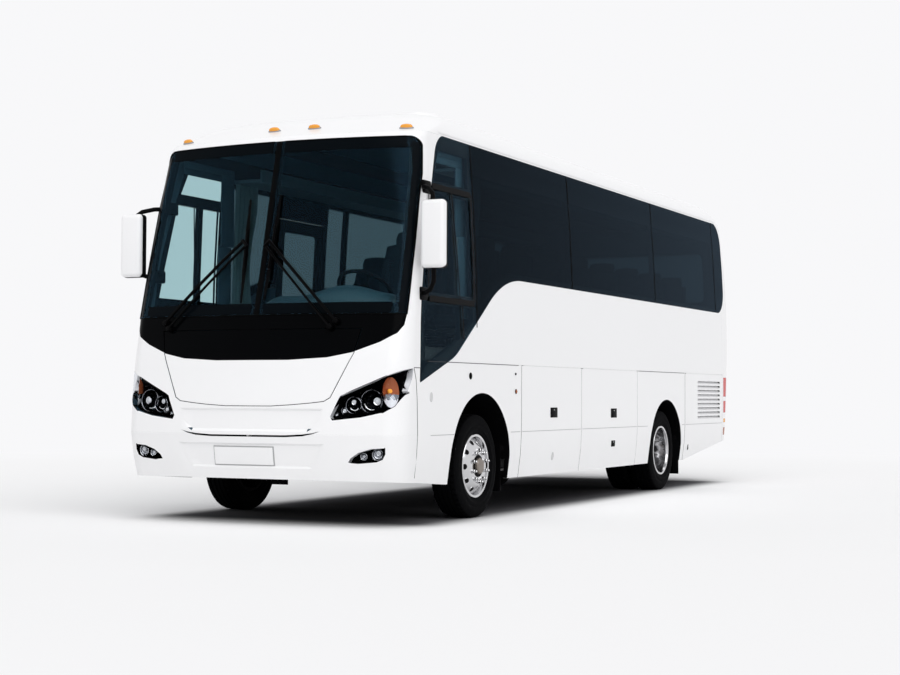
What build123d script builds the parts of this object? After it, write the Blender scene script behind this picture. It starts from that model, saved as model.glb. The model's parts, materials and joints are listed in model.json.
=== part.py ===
"""A rear-engined midi coach, nine metres long, as an assembly of separate pieces.

Millimetres. The front faces -Y, the driver's side is +X and +Z is up. The origin is on the
ground, in the middle of the overall length and width. STATION values are measured rearwards
from the front axle.
"""
import os
from math import cos, radians, sin, sqrt

from build123d import *

os.makedirs("parts", exist_ok=True)

# ---------------------------------------------------------------- driving dimensions
LENGTH = 9000.0            # overall, bumper to rear panel
FRONT_OVERHANG = 1640.0    # front face to the front axle
WHEELBASE = 4820.0
HALF_WIDTH = 1245.0        # half the body's width at the belt
WALL = 45.0                # thickness of a body panel or a door
SKIN = 8.0                 # thickness of a bonded glass pane
SHUT_GAP = 5.0             # between a moving panel and its neighbours
FIT_CLEARANCE = 0.05       # radial, shaft in a bore
FACE_CLEARANCE = 1.0       # between faces that turn past each other
HINGE_RADIUS = 2.2         # rolled hinge that runs in a shut gap

# heights above the ground
Z_SKIRT = 300.0
Z_CREASE = 690.0
Z_BUMPER_TOP = 700.0
Z_BELT = 1260.0
Z_GLASS_LOW = 1985.0
Z_BAND_TOP = 3045.0
Z_SCREEN_LOW = 1610.0
Z_SCREEN_TOP = 3000.0
Z_FLOOR = 1220.0

# running gear
WHEEL_Z = 423.0            # axle centre above the ground = tyre radius
TYRE_RADIUS = 423.0
TYRE_WIDTH = 245.0
FLANGE_RADIUS = 260.0      # wheel rim's outer edge
BEAD_RADIUS = 247.0
RIM_WIDTH = 190.0
TRACK_FRONT = 2140.0       # between the middles of the front tyres
TRACK_REAR = 2140.0        # between the middles of the outer rear tyres
DUAL_SPACING = 282.0       # between the middles of twin tyres
KINGPIN_X = 930.0
KINGPIN_RADIUS = 22.0
SPINDLE_RADIUS = 32.0
FRONT_ARCH_RADIUS = 595.0
REAR_ARCH_RADIUS = 540.0

FRONT_AXLE_Y = FRONT_OVERHANG - LENGTH / 2
REAR_AXLE_Y = FRONT_AXLE_Y + WHEELBASE


def station(distance):
    """Y of a place that is this far behind the front axle."""
    return FRONT_AXLE_Y + distance


def box(x0, x1, y0, y1, z0, z1):
    """Axis-aligned block between two corners."""
    size = (abs(x1 - x0), abs(y1 - y0), abs(z1 - z0))
    centre = ((x0 + x1) / 2, (y0 + y1) / 2, (z0 + z1) / 2)
    return Pos(*centre) * Box(*size)


def prism_x(outline, x0, x1):
    """Outline of (y, z) points, extruded from x0 to x1."""
    face = Face(Wire.make_polygon([Vector(x0, y, z) for y, z in outline], close=True))
    return extrude(face, amount=x1 - x0, dir=(1, 0, 0))


def prism_y(outline, y0, y1):
    """Outline of (x, z) points, extruded from y0 to y1."""
    face = Face(Wire.make_polygon([Vector(x, y0, z) for x, z in outline], close=True))
    return extrude(face, amount=y1 - y0, dir=(0, 1, 0))


def rounded_prism_x(outline, radii, x0, x1):
    """Outline of (y, z) points with its own radius at each corner, extruded along X."""
    wire = FilletPolyline(*[(x0, y, z) for y, z in outline], radius=radii, close=True)
    return extrude(Face(Wire(wire.edges())), amount=x1 - x0, dir=(1, 0, 0))


def rounded_prism_y(outline, radii, y0, y1):
    """Outline of (x, z) points with its own radius at each corner, extruded along Y."""
    wire = FilletPolyline(*[(x, y0, z) for x, z in outline], radius=radii, close=True)
    return extrude(Face(Wire(wire.edges())), amount=y1 - y0, dir=(0, 1, 0))


def rod(x, y, z, radius, length, axis):
    """Round bar that starts at a point and runs along +X, +Y or +Z."""
    plane = Plane(origin=(x, y, z), z_dir={"x": (1, 0, 0), "y": (0, 1, 0), "z": (0, 0, 1)}[axis])
    return plane * Cylinder(radius, length, align=(Align.CENTER, Align.CENTER, Align.MIN))


def flip(shape):
    """The same piece on the other side of the vehicle."""
    return mirror(shape, about=Plane.YZ)


def both_sides(shape):
    """A piece and its mirror image, as two solids of one node."""
    return Compound(list(shape.solids()) + list(flip(shape).solids()))


def save(name, shape):
    """Write one node."""
    solids = list(shape.solids())
    export_step(solids[0] if len(solids) == 1 else Compound(solids), f"parts/{name}.step")


# ---------------------------------------------------------------- body surface
# Horizontal sections, from the skirt to the crown of the roof. Columns: height,
# half width less than HALF_WIDTH, front face behind the foremost point, radius of
# the front face in plan, front corner radius, rear face ahead of the rearmost point,
# rear corner radius.
SECTIONS = [
    (Z_SKIRT, 35, 70, 4800, 200, 170, 200),
    (500, 10, 28, 4800, 200, 120, 200),
    (Z_CREASE, 0, 0, 4800, 200, 98, 200),
    (950, 0, 15, 4800, 200, 70, 200),
    (Z_BELT, 0, 55, 4800, 190, 40, 200),
    (1600, 3, 128, 4800, 160, 5, 200),
    (Z_GLASS_LOW, 11, 230, 4800, 140, 0, 200),
    (2500, 37, 348, 4600, 130, 10, 200),
    (3010, 75, 472, 4400, 130, 113, 200),
    (Z_BAND_TOP, 80, 505, 4400, 140, 135, 200),
    (3120, 103, 685, 4400, 200, 200, 240),
    (3180, 143, 790, 4400, 260, 300, 280),
    (3225, 195, 890, 4400, 300, 410, 300),
    (3258, 265, 1000, 4400, 340, 530, 340),
    (3282, 355, 1140, 4400, 380, 670, 380),
    (3302, 485, 1300, 4400, 400, 860, 400),
    (3318, 685, 1520, 4400, 400, 1110, 400),
    (3330, 945, 1840, 4400, 280, 1460, 280),
]
REAR_FACE_RADIUS = 14000.0
SMALLEST_CORNER = 40.0


def corner_arc(half, face_y, face_radius, corner, sense):
    """Centre and tangent point of a corner between an end face and a side."""
    centre_x = half - corner
    big_centre_y = face_y + sense * face_radius
    centre_y = big_centre_y - sense * sqrt((face_radius - corner) ** 2 - centre_x ** 2)
    ratio = face_radius / (face_radius - corner)
    tangent = (centre_x * ratio, big_centre_y + (centre_y - big_centre_y) * ratio)
    return (centre_x, centre_y), tangent


def arc_middle(centre, start, end, radius):
    """Point half way round a short arc."""
    x = (start[0] + end[0]) / 2 - centre[0]
    y = (start[1] + end[1]) / 2 - centre[1]
    scale = radius / sqrt(x * x + y * y)
    return (centre[0] + x * scale, centre[1] + y * scale)


def body_ring(section, inset):
    """Closed outline of the body at one height, moved inwards by inset."""
    z, narrower, front_back, front_radius, front_corner, rear_ahead, rear_corner = section
    half = HALF_WIDTH - narrower - inset
    front = -LENGTH / 2 + front_back + inset
    rear = LENGTH / 2 - rear_ahead - inset
    corner_f = max(front_corner - inset, SMALLEST_CORNER)
    corner_r = max(rear_corner - inset, SMALLEST_CORNER)
    centre_f, tangent_f = corner_arc(half, front, front_radius - inset, corner_f, 1)
    centre_r, tangent_r = corner_arc(half, rear, REAR_FACE_RADIUS - inset, corner_r, -1)
    side_f = (half, centre_f[1])
    side_r = (half, centre_r[1])
    middle_f = arc_middle(centre_f, tangent_f, side_f, corner_f)
    middle_r = arc_middle(centre_r, side_r, tangent_r, corner_r)

    def at(point, side=1):
        return (side * point[0], point[1], z)

    edges = [
        ThreePointArc(at(tangent_f, -1), (0, front, z), at(tangent_f)),
        ThreePointArc(at(tangent_f), at(middle_f), at(side_f)),
        Line(at(side_f), at(side_r)),
        ThreePointArc(at(side_r), at(middle_r), at(tangent_r)),
        ThreePointArc(at(tangent_r), (0, rear, z), at(tangent_r, -1)),
        ThreePointArc(at(tangent_r, -1), at(middle_r, -1), at(side_r, -1)),
        Line(at(side_r, -1), at(side_f, -1)),
        ThreePointArc(at(side_f, -1), at(middle_f, -1), at(tangent_f, -1)),
    ]
    return Wire([edge.edge() for edge in edges])


def body_solid(inset, lowest=0.0, drop=0.0):
    """The body's full volume, inset on every side and lowered at the roof by drop."""
    rings = []
    for section in SECTIONS:
        z = section[0] - (drop if section[0] > Z_BAND_TOP else 0.0)
        rings.append(body_ring((z,) + section[1:], inset))
    solid = loft([Face(ring) for ring in rings], ruled=True)
    if lowest:
        foot = Face(body_ring(SECTIONS[0], inset))
        solid = solid + extrude(foot, amount=lowest, dir=(0, 0, -1))
    return solid


OUTER = body_solid(0.0)
UNDER_GLASS = body_solid(SKIN, lowest=20.0, drop=SKIN)
INNER = body_solid(WALL, lowest=20.0, drop=WALL)
PANEL = OUTER - INNER            # a full-thickness panel anywhere on the body
GLAZING = OUTER - UNDER_GLASS    # the outer skin where a pane is bonded on
FRAME = UNDER_GLASS - INNER      # what a bonded pane sits on



def face_y(x, z, inset=0.0, rear=False):
    """Y of the front (or rear) face at a place on it."""
    heights = [section[0] for section in SECTIONS]
    upper = next(k for k, height in enumerate(heights) if height >= z)
    lower = max(upper - 1, 0)
    span = heights[upper] - heights[lower]
    part = (z - heights[lower]) / span if span else 0.0
    low, high = SECTIONS[lower], SECTIONS[upper]
    value = [a + (b - a) * part for a, b in zip(low, high)]
    if rear:
        return LENGTH / 2 - value[5] - inset - x * x / (2 * REAR_FACE_RADIUS)
    half = HALF_WIDTH - value[1] - inset
    front = -LENGTH / 2 + value[2] + inset
    radius = value[3] - inset
    corner = max(value[4] - inset, SMALLEST_CORNER)
    centre, tangent = corner_arc(half, front, radius, corner, 1)
    if abs(x) <= tangent[0]:
        return front + radius - sqrt(radius ** 2 - x * x)
    return centre[1] - sqrt(max(corner ** 2 - (abs(x) - centre[0]) ** 2, 0.0))


# ---------------------------------------------------------------- outlines on the body
FAR = 400.0                                  # how far a cutting prism runs past the body
FRONT_END = -LENGTH / 2 - FAR
REAR_END = LENGTH / 2 + FAR
SIDE_IN = 900.0                              # inner limit of a cut through one side wall
SIDE_OUT = HALF_WIDTH + FAR

MASK_SEAM = station(-1215)
REAR_SEAM = station(6930)
BAY_START = station(805)
BAY_SPLIT_LEFT = station(2255)
BAY_END = station(3855)
SIDE_DOOR_START = station(5470)
ENTRY_FRONT = station(760)
ENTRY_REAR = station(1600)
BAY_SPLIT_RIGHT = station(2730)
Z_ENTRY_LOW = 330.0
Z_ENTRY_TOP = 2620.0

# black window band, seen from the side: (station, height, corner radius)
BAND_LIFT = 6.0            # its top corners are rounded from this far above its top edge
BAND = [
    (-748, Z_BAND_TOP + BAND_LIFT, 230),
    (-1078, 2130, 1800),
    (-1162, 1640, 1800),
    (-1178, 1091, 12),
    (-541, 1304, 600),
    (447, Z_GLASS_LOW, 1200),
    (7050, Z_GLASS_LOW, 270),
    (7045, Z_BAND_TOP + BAND_LIFT, 270),
]
BAND_POINTS = [(station(y), z) for y, z, radius in BAND]
BAND_PRISM = rounded_prism_x(BAND_POINTS, [radius for y, z, radius in BAND], SIDE_IN, SIDE_OUT)
BAND_PRISM = BAND_PRISM & box(SIDE_IN - 50, SIDE_OUT + 50, FRONT_END, REAR_END, 0, Z_BAND_TOP)

# front mask, seen from the side; the band's front edge is cut from it
FRONT_SEAM = [(-1215, Z_BUMPER_TOP), (-1225, 964), (-1244, 1113), (-1280, 1205), (-1150, 1205)]
MASK = [(-2200, Z_BUMPER_TOP)] + FRONT_SEAM + [(-1050, 1725), (-430, Z_BAND_TOP),
                                               (-2200, Z_BAND_TOP)]
MASK_PRISM = prism_x([(station(y), z) for y, z in MASK], -SIDE_OUT, SIDE_OUT)

# windscreen and scuttle, seen from the front: (half-side x, height)
SCREEN_EDGE = [(1160, Z_SCREEN_TOP), (1183, 2700), (1200, 2150), (1207, Z_SCREEN_LOW)]
SCUTTLE_EDGE = [(1207, Z_SCREEN_LOW), (1197, 1523), (1160, 1462), (1040, 1395), (834, 1318),
                (640, 1280), (320, 1262)]
SCREEN_BACK = [(-2200, 1200), (-1250, 1200), (-1240, Z_SCREEN_LOW), (-880, Z_SCREEN_TOP),
               (-880, 3100), (-2200, 3100)]


def symmetric(half_outline):
    """Close a right-hand outline with its mirror image."""
    return half_outline + [(-x, z) for x, z in reversed(half_outline)]


BEHIND_SCREEN = prism_x([(station(y), z) for y, z in SCREEN_BACK], -SIDE_OUT, SIDE_OUT)
SCREEN_CORNER = 90.0
screen_blank = prism_y(symmetric(SCREEN_EDGE), FRONT_END, 0.0)
top_corners = screen_blank.edges().filter_by(Axis.Y).group_by(Axis.Z)[-1]
SCREEN_ZONE = fillet(top_corners, SCREEN_CORNER) & BEHIND_SCREEN
SCUTTLE_ZONE = prism_y(symmetric(SCUTTLE_EDGE), FRONT_END, 0.0) & BEHIND_SCREEN

# front service flap: its opening, its skin and the narrower core behind the skin
FLAP_TOP = 1500.0
FLAP = [(897, FLAP_TOP), (852, 1312), (692, 975), (642, 946), (520, 932), (380, 920),
        (200, 909)]
FLAP_SKIN = [(883, FLAP_TOP - SHUT_GAP), (845, 1312), (686, 979), (639, 951), (519, 937),
             (380, 925), (200, 914)]
FLAP_CORE = [(855, FLAP_TOP - 12), (818, 1312), (664, 990), (600, 966), (200, 930)]
LAMP = [(712, 806), (696, 835), (768, 990), (1032, 1106), (1300, 1222), (1300, 1080),
        (1222, 1000), (1174, 915), (1100, 868), (930, 830)]
LAMP_SIDE = [(-2200, 700), (-1330, 700), (-1330, 985), (-1362, 1028), (-1310, 1127),
             (-1291, 1205), (-1291, 1300), (-2200, 1300)]
FOG = [(1112, 603), (1006, 595), (913, 567), (850, 526), (829, 494), (908, 489), (1045, 502),
       (1090, 521), (1110, 559)]
LAMP_BACK = station(-1270)
FOG_BACK = station(-1400)

FLAP_HOLE = prism_y(symmetric(FLAP), FRONT_END, MASK_SEAM)
LAMP_PRISM = prism_y(LAMP, FRONT_END, LAMP_BACK) & prism_x(
    [(station(y), z) for y, z in LAMP_SIDE], SIDE_IN - 400, SIDE_OUT)
FOG_PRISM = prism_y(FOG, FRONT_END, FOG_BACK)

# ground line of the body: lowered skirt between a rising nose and a rising tail
NOSE = [(-2200, 0), (-500, 0), (-500, Z_SKIRT - 1), (-650, Z_SKIRT), (-1200, 336), (-2200, 390)]
TAIL = [(5500, 0), (7900, 0), (7900, 590), (5500, Z_SKIRT - 1)]
NOSE_PRISM = prism_x([(station(y), z) for y, z in NOSE], -SIDE_OUT, SIDE_OUT)
TAIL_PRISM = prism_x([(station(y), z) for y, z in TAIL], -SIDE_OUT, SIDE_OUT)


def arch_cut(axle_y, radius):
    """Wheel opening through one side wall."""
    round_part = rod(SIDE_IN, axle_y, WHEEL_Z, radius, SIDE_OUT - SIDE_IN, "x")
    return round_part + box(SIDE_IN, SIDE_OUT, axle_y - radius, axle_y + radius, 0, WHEEL_Z)


FRONT_ARCH = arch_cut(station(-20), FRONT_ARCH_RADIUS)
REAR_ARCH = arch_cut(REAR_AXLE_Y, REAR_ARCH_RADIUS)


def section_at(z):
    """Values of the body's section at any height."""
    upper = next(k for k, section in enumerate(SECTIONS) if section[0] >= z)
    low, high = SECTIONS[upper - 1], SECTIONS[upper]
    part = (z - low[0]) / (high[0] - low[0])
    return tuple(a + (b - a) * part for a, b in zip(low, high))


def front_recess(heights, outline, depth, slope):
    """Shallow hollow in the front face whose borders slope.

    heights are the lower edge, the floor's lower and upper ends and the upper edge, and
    outline holds the (x, z) places where the sloping sides meet the outer face.
    """
    z0, z1, z2, z3 = heights
    between = [section[0] for section in SECTIONS if z1 < section[0] < z2]
    rings = [Face(body_ring(section_at(z0), -1.0))]
    rings += [Face(body_ring(section_at(z), depth)) for z in [z1] + between + [z2]]
    rings += [Face(body_ring(section_at(z3), -1.0))]
    trough = (OUTER & box(-900, 900, FRONT_END, MASK_SEAM, z0, z3)) - loft(rings, ruled=True)
    surface = [face_y(x, z) for x, z in outline]
    ends = []
    for y in (min(surface) - 60, max(surface) + 40):
        points = [(x + slope * (face - y) / depth, z) for (x, z), face in zip(outline, surface)]
        wire = Wire.make_polygon([Vector(x, y, z) for x, z in symmetric(points)], close=True)
        ends.append(Face(wire))
    return trough & loft(ends, ruled=True)


def side_region(y0, y1, z0, z1):
    """Block that takes in the left side wall only."""
    return box(SIDE_IN, SIDE_OUT, y0, y1, z0, z1)


ENTRY_HOLE = flip(side_region(ENTRY_FRONT - SHUT_GAP, ENTRY_REAR + SHUT_GAP,
                              Z_ENTRY_LOW - SHUT_GAP, Z_ENTRY_TOP + SHUT_GAP))

# ---------------------------------------------------------------- fixed body panels
roof = PANEL & box(-SIDE_OUT, SIDE_OUT, FRONT_END, REAR_END, Z_BAND_TOP, Z_BAND_TOP + FAR)
save("roof", roof)

UNIT_HALF, UNIT_FRONT, UNIT_REAR, UNIT_TOP = 640.0, station(220), station(2450), 3420.0
unit = box(-UNIT_HALF, UNIT_HALF, UNIT_FRONT, UNIT_REAR, 3200, UNIT_TOP)
unit = fillet(unit.edges().filter_by(Axis.Z), 220)
unit = chamfer(unit.faces().sort_by(Axis.Z)[-1].edges(), 45)
save("roof_unit", unit - OUTER)

# air slit between the mask and the bumper, which thins out towards its ends
SLIT = [(330, 692), (475, 700), (560, 711), (620, 725), (560, 703), (475, 686), (330, 678)]
MASK_FOOT = prism_y(symmetric([(475, Z_BUMPER_TOP), (330, 692)]), FRONT_END, MASK_SEAM)
SLIT_PRISM = prism_y(symmetric(SLIT), FRONT_END, MASK_SEAM)
GRILLE = front_recess((718, 737, 878, 895), [(650, 930), (622, 815), (552, 742), (480, 700)], 14, 44)
VALANCE = front_recess((440, 457, 616, 630), [(652, 650), (648, 610), (528, 430)], 14, 48)

mask = (PANEL & MASK_PRISM) - BAND_PRISM - flip(BAND_PRISM)
mask = mask - SCREEN_ZONE - SCUTTLE_ZONE - FLAP_HOLE - LAMP_PRISM - flip(LAMP_PRISM)
mask = mask + (PANEL & MASK_FOOT)
save("front_mask", mask - GRILLE - SLIT_PRISM)

bumper = PANEL & box(-SIDE_OUT, SIDE_OUT, FRONT_END, MASK_SEAM, 0, Z_BUMPER_TOP)
bumper = bumper - MASK_FOOT - SLIT_PRISM - NOSE_PRISM - FOG_PRISM - flip(FOG_PRISM)
save("front_bumper", bumper - VALANCE)

lamps = OUTER & LAMP_PRISM
fogs = OUTER & FOG_PRISM
save("front_lamps", Compound(list(lamps.solids()) + list(flip(lamps).solids())
                             + list(fogs.solids()) + list(flip(fogs).solids())))

DIVIDER_GAP = 8.0
glass = (GLAZING & SCREEN_ZONE) - box(-DIVIDER_GAP / 2, DIVIDER_GAP / 2, FRONT_END, 0, 0, 4000)
save("windscreen", glass)
OPENING = [(1085, 2925), (1105, 2640), (1120, 1690), (32, 1690), (32, 2925)]
opening = prism_y(OPENING, FRONT_END, 0.0)
screen_frame = (FRAME & SCREEN_ZONE) - opening - flip(opening)
save("windscreen_frame", screen_frame)
save("scuttle", (PANEL & SCUTTLE_ZONE) - FLAP_HOLE)

# side: upper panel, band frame with its openings, bonded panes
UPPER = side_region(station(-900), REAR_SEAM, Z_BELT, Z_GLASS_LOW + 200)
upper_left = (PANEL & UPPER) - BAND_PRISM - MASK_PRISM
upper_right = flip(upper_left) - ENTRY_HOLE
save("side_panels", Compound(list(upper_left.solids()) + list(upper_right.solids())))

PANE_TOP = 2800.0
PANE_LOW = 2035.0
PILLAR_HALF = 32.0
PILLARS = [-130, 2040, 4470, 6700]           # stations of the pane joints
DRIVER_OPENINGS = [
    [(-720, 2925), (-190, 2925), (-190, 2670), (-845, 2670)],
    [(-875, 2580), (-560, 2580), (-540, 1790), (-1085, 1790)],
    [(-500, 2580), (-190, 2580), (-190, 1790), (-480, 1790)],
    [(-1090, 1700), (-450, 1700), (-450, 1440), (-1090, 1205)],
    [(-410, 1700), (-190, 1700), (-190, 1590), (-410, 1455)],
]
PANE_OPENINGS = [
    [(-90, PANE_TOP), (2008, PANE_TOP), (2008, PANE_LOW), (560, PANE_LOW), (300, 1960),
     (-90, 1700)],
    [(2072, PANE_TOP), (4438, PANE_TOP), (4438, PANE_LOW), (2072, PANE_LOW)],
    [(4502, PANE_TOP), (6650, PANE_TOP), (6650, PANE_LOW), (4502, PANE_LOW)],
]
band_frame = FRAME & BAND_PRISM
for outline in DRIVER_OPENINGS + PANE_OPENINGS:
    band_frame = band_frame - prism_x([(station(y), z) for y, z in outline], SIDE_IN, SIDE_OUT)
band_glass = GLAZING & BAND_PRISM
for pillar in PILLARS:
    y = station(pillar)
    band_glass = band_glass - side_region(y - DIVIDER_GAP / 2, y + DIVIDER_GAP / 2, 0, 4000)
# on the right the entrance door interrupts the first pane
entry_posts = flip(side_region(ENTRY_FRONT - 60, ENTRY_REAR + 60, PANE_LOW - 60, PANE_TOP + 20))
band_frame_right = (flip(band_frame) + (flip(FRAME & BAND_PRISM) & entry_posts)) - ENTRY_HOLE
save("window_bands", Compound(list(band_frame.solids()) + list(band_frame_right.solids())))

# lower sides
LOWER_FRONT = [(MASK_SEAM, 0), (MASK_SEAM, Z_BUMPER_TOP), (station(-1290), Z_BUMPER_TOP),
               (station(-1290), Z_BELT), (BAY_START, Z_BELT), (BAY_START, 0)]
lower = prism_x(LOWER_FRONT, SIDE_IN, SIDE_OUT)
skirt = (PANEL & lower) - BAND_PRISM - MASK_PRISM - FRONT_ARCH - NOSE_PRISM
skirt_left = skirt - side_region(BAY_START - SHUT_GAP / 2, BAY_START + FAR, 0, Z_BELT)
skirt_right = flip(skirt) - ENTRY_HOLE
skirt_right = skirt_right & flip(side_region(station(-1290), ENTRY_FRONT, 0, Z_BELT))
save("front_skirts", Compound(list(skirt_left.solids()) + list(skirt_right.solids())))
rear_skirt = PANEL & side_region(BAY_END + SHUT_GAP / 2, SIDE_DOOR_START - SHUT_GAP / 2, 0, Z_BELT)
save("rear_skirts", both_sides(rear_skirt - REAR_ARCH))

# rear: cap, glass, bumper, engine door, tail lamps
REAR_CAP = [(6930, 620), (7900, 620), (7900, Z_BAND_TOP), (6700, Z_BAND_TOP), (6700, 2700),
            (6930, 2700)]
REAR_CAP_PRISM = prism_x([(station(y), z) for y, z in REAR_CAP], -SIDE_OUT, SIDE_OUT)
Z_REAR_BUMPER = 620.0
ENGINE_DOOR = [(860, 1480), (860, Z_REAR_BUMPER + SHUT_GAP)]
ENGINE_HOLE = prism_y(symmetric([(860 + SHUT_GAP, 1480 + SHUT_GAP), (860 + SHUT_GAP, Z_REAR_BUMPER - 1)]),
                      station(6960), REAR_END)
TAIL_LAMPS = [(550, 638), (696, 742), (812, 950), (1000, 1226)]     # height spans
LAMP_WRAP_START = station(6975)      # where they end on the sides
LAMP_FACE_START = station(7175)      # how far they reach in, behind the floor
LAMP_FACE_INNER = 1075.0
lamp_blocks = []
for z0, z1 in TAIL_LAMPS:
    block = box(LAMP_FACE_INNER, SIDE_OUT, LAMP_FACE_START, REAR_END, z0, z1)
    block = block + box(HALF_WIDTH - WALL, SIDE_OUT, LAMP_WRAP_START, REAR_END, z0, z1)
    lamp_blocks.append(block)
REAR_PANE = [(980, 2820), (1000, 2050)]
rear_pane = rounded_prism_y(symmetric(REAR_PANE), [120, 120, 120, 120], station(6960), REAR_END)
rear_opening = rounded_prism_y(symmetric([(900, 2740), (920, 2130)]), [90, 90, 90, 90],
                               station(6960), REAR_END)
rear_glass = GLAZING & rear_pane
cap = (PANEL & REAR_CAP_PRISM) - BAND_PRISM - flip(BAND_PRISM) - ENGINE_HOLE
cap = cap - rear_glass - rear_opening
for block in lamp_blocks:
    cap = cap - block - flip(block)
save("rear_cap", cap)
rear_bumper = PANEL & box(-SIDE_OUT, SIDE_OUT, REAR_SEAM, REAR_END, 0, Z_REAR_BUMPER)
save("rear_bumper", rear_bumper - TAIL_PRISM - lamp_blocks[0] - flip(lamp_blocks[0]))
tail_lamps = [OUTER & block for block in lamp_blocks]
save("tail_lamps", Compound([s for lens in tail_lamps for s in both_sides(lens).solids()]))
engine_blank = prism_y(symmetric(ENGINE_DOOR), station(6960), REAR_END)
engine_door = PANEL & engine_blank
for k in range(7):
    z = 760 + 46 * k
    engine_door = engine_door - box(-520, 520, station(6960), REAR_END, z, z + 20)
ENGINE_HINGE_Y, ENGINE_HINGE_Z = 4482.0, 1480 + SHUT_GAP / 2
engine_hinge = rod(-150, ENGINE_HINGE_Y, ENGINE_HINGE_Z, HINGE_RADIUS, 300, "x")
engine_hinge = engine_hinge + box(-150, 150, ENGINE_HINGE_Y - 8, ENGINE_HINGE_Y,
                                  ENGINE_HINGE_Z - 7, ENGINE_HINGE_Z)
save("engine_door", engine_door + engine_hinge)
all_glass = list(band_glass.solids()) + list((flip(band_glass) - ENTRY_HOLE).solids())
save("body_glass", Compound(all_glass + list(rear_glass.solids())))

# ---------------------------------------------------------------- doors and flaps
GRILLE_BARS = 9
GRILLE_BOX = (station(5945), station(6820), 735, 1180)


def side_door(y0, y1, louvred):
    """Full-height lower panel, hung at the belt on a rolled hinge."""
    door = PANEL & side_region(y0 + SHUT_GAP / 2, y1 - SHUT_GAP / 2, 0, Z_BELT - SHUT_GAP)
    door = door - TAIL_PRISM
    hinge_z = Z_BELT - SHUT_GAP / 2
    door = door + rod(HALF_WIDTH, y0 + 30, hinge_z, HINGE_RADIUS, y1 - y0 - 60, "y")
    door = door + box(HALF_WIDTH - 8, HALF_WIDTH, y0 + 30, y1 - 30, hinge_z - 7, hinge_z)
    if louvred:
        gy0, gy1, gz0, gz1 = GRILLE_BOX
        pitch = (gz1 - gz0) / GRILLE_BARS
        for k in range(GRILLE_BARS):
            low = gz0 + k * pitch
            door = door - side_region(gy0, gy1, low + 16, low + pitch - 6)
    return door


SIDE_DOORS = [
    ("luggage_door_left_front", 1, BAY_START, BAY_SPLIT_LEFT, False),
    ("luggage_door_left_rear", 1, BAY_SPLIT_LEFT, BAY_END, False),
    ("side_door_left", 1, SIDE_DOOR_START, REAR_SEAM, True),
    ("luggage_door_right_front", -1, ENTRY_REAR + SHUT_GAP, BAY_SPLIT_RIGHT, False),
    ("luggage_door_right_rear", -1, BAY_SPLIT_RIGHT, BAY_END, False),
    ("side_door_right", -1, SIDE_DOOR_START, REAR_SEAM, False),
]
for name, side, y0, y1, louvred in SIDE_DOORS:
    door = side_door(y0, y1, louvred)
    save(name, door if side > 0 else flip(door))

flap = GLAZING & prism_y(symmetric(FLAP_SKIN), FRONT_END, MASK_SEAM)
flap = flap + (PANEL & prism_y(symmetric(FLAP_CORE), FRONT_END, MASK_SEAM))
FLAP_HINGE_Y, FLAP_HINGE_Z = -4394.0, FLAP_TOP - SHUT_GAP / 2
flap_hinge = rod(-150, FLAP_HINGE_Y, FLAP_HINGE_Z, HINGE_RADIUS, 300, "x")
flap_hinge = flap_hinge + box(-150, 150, FLAP_HINGE_Y, FLAP_HINGE_Y + 10, FLAP_HINGE_Z - 7,
                              FLAP_HINGE_Z)
save("front_flap", flap - SCUTTLE_ZONE)
save("flap_scuttle", (flap & SCUTTLE_ZONE) + flap_hinge)

entry = PANEL & flip(side_region(ENTRY_FRONT, ENTRY_REAR, Z_ENTRY_LOW, Z_ENTRY_TOP))
pane = [(ENTRY_FRONT + 60, 1340), (ENTRY_REAR - 60, 1340),
        (ENTRY_REAR - 60, Z_ENTRY_TOP - 60), (ENTRY_FRONT + 60, Z_ENTRY_TOP - 60)]
hole = [(ENTRY_FRONT + 110, 1390), (ENTRY_REAR - 110, 1390),
        (ENTRY_REAR - 110, Z_ENTRY_TOP - 110), (ENTRY_FRONT + 110, Z_ENTRY_TOP - 110)]
door_glass = flip(GLAZING & rounded_prism_x(pane, [60] * 4, SIDE_IN, SIDE_OUT))
entry = entry - door_glass - flip(rounded_prism_x(hole, [40] * 4, SIDE_IN, SIDE_OUT))
save("entry_door", entry + rod(-HALF_WIDTH, ENTRY_FRONT, 720, HINGE_RADIUS, 500, "z"))
save("entry_door_glass", door_glass)

# ---------------------------------------------------------------- chassis
RAIL_INNER, RAIL_OUTER = 400.0, 470.0
Z_RAIL_LOW, Z_RAIL_TOP = 620.0, 820.0
Z_BEARER_LOW, Z_FLOOR_LOW = 1080.0, 1170.0
RAIL_FRONT, RAIL_REAR = station(-1350), station(7000)
CROSS = [-1250, -560, 900, 2600, 4150, 5600, 6900]
BEARERS = [-1080, -520, 560, 2200, 3000, 3900, 5600, 6700]
rail = box(RAIL_INNER, RAIL_OUTER, RAIL_FRONT, RAIL_REAR, Z_RAIL_LOW, Z_RAIL_TOP)
frame = rail + flip(rail)
for y in CROSS:
    frame = frame + box(-RAIL_INNER, RAIL_INNER, station(y) - 40, station(y) + 40, 650, 790)
for y in BEARERS:
    half = HALF_WIDTH - WALL - 25
    frame = frame + box(-half, half, station(y) - 30, station(y) + 30, Z_BEARER_LOW, Z_FLOOR_LOW)
    saddle = box(RAIL_INNER, RAIL_OUTER, station(y) - 40, station(y) + 40, Z_RAIL_TOP, Z_BEARER_LOW)
    frame = frame + saddle + flip(saddle)
TOW_HOLE_RADIUS = 20.0
TOW_Z0, TOW_Z1 = 590.0, 650.0
frame = frame + box(-70, 70, station(6900), station(7190), TOW_Z0, TOW_Z1)
frame = frame - rod(0, station(7130), TOW_Z0 - 10, TOW_HOLE_RADIUS, 100, "z")
JACK_STATIONS = [1500, 3400]
Z_JACK_PAD = 600.0
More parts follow.
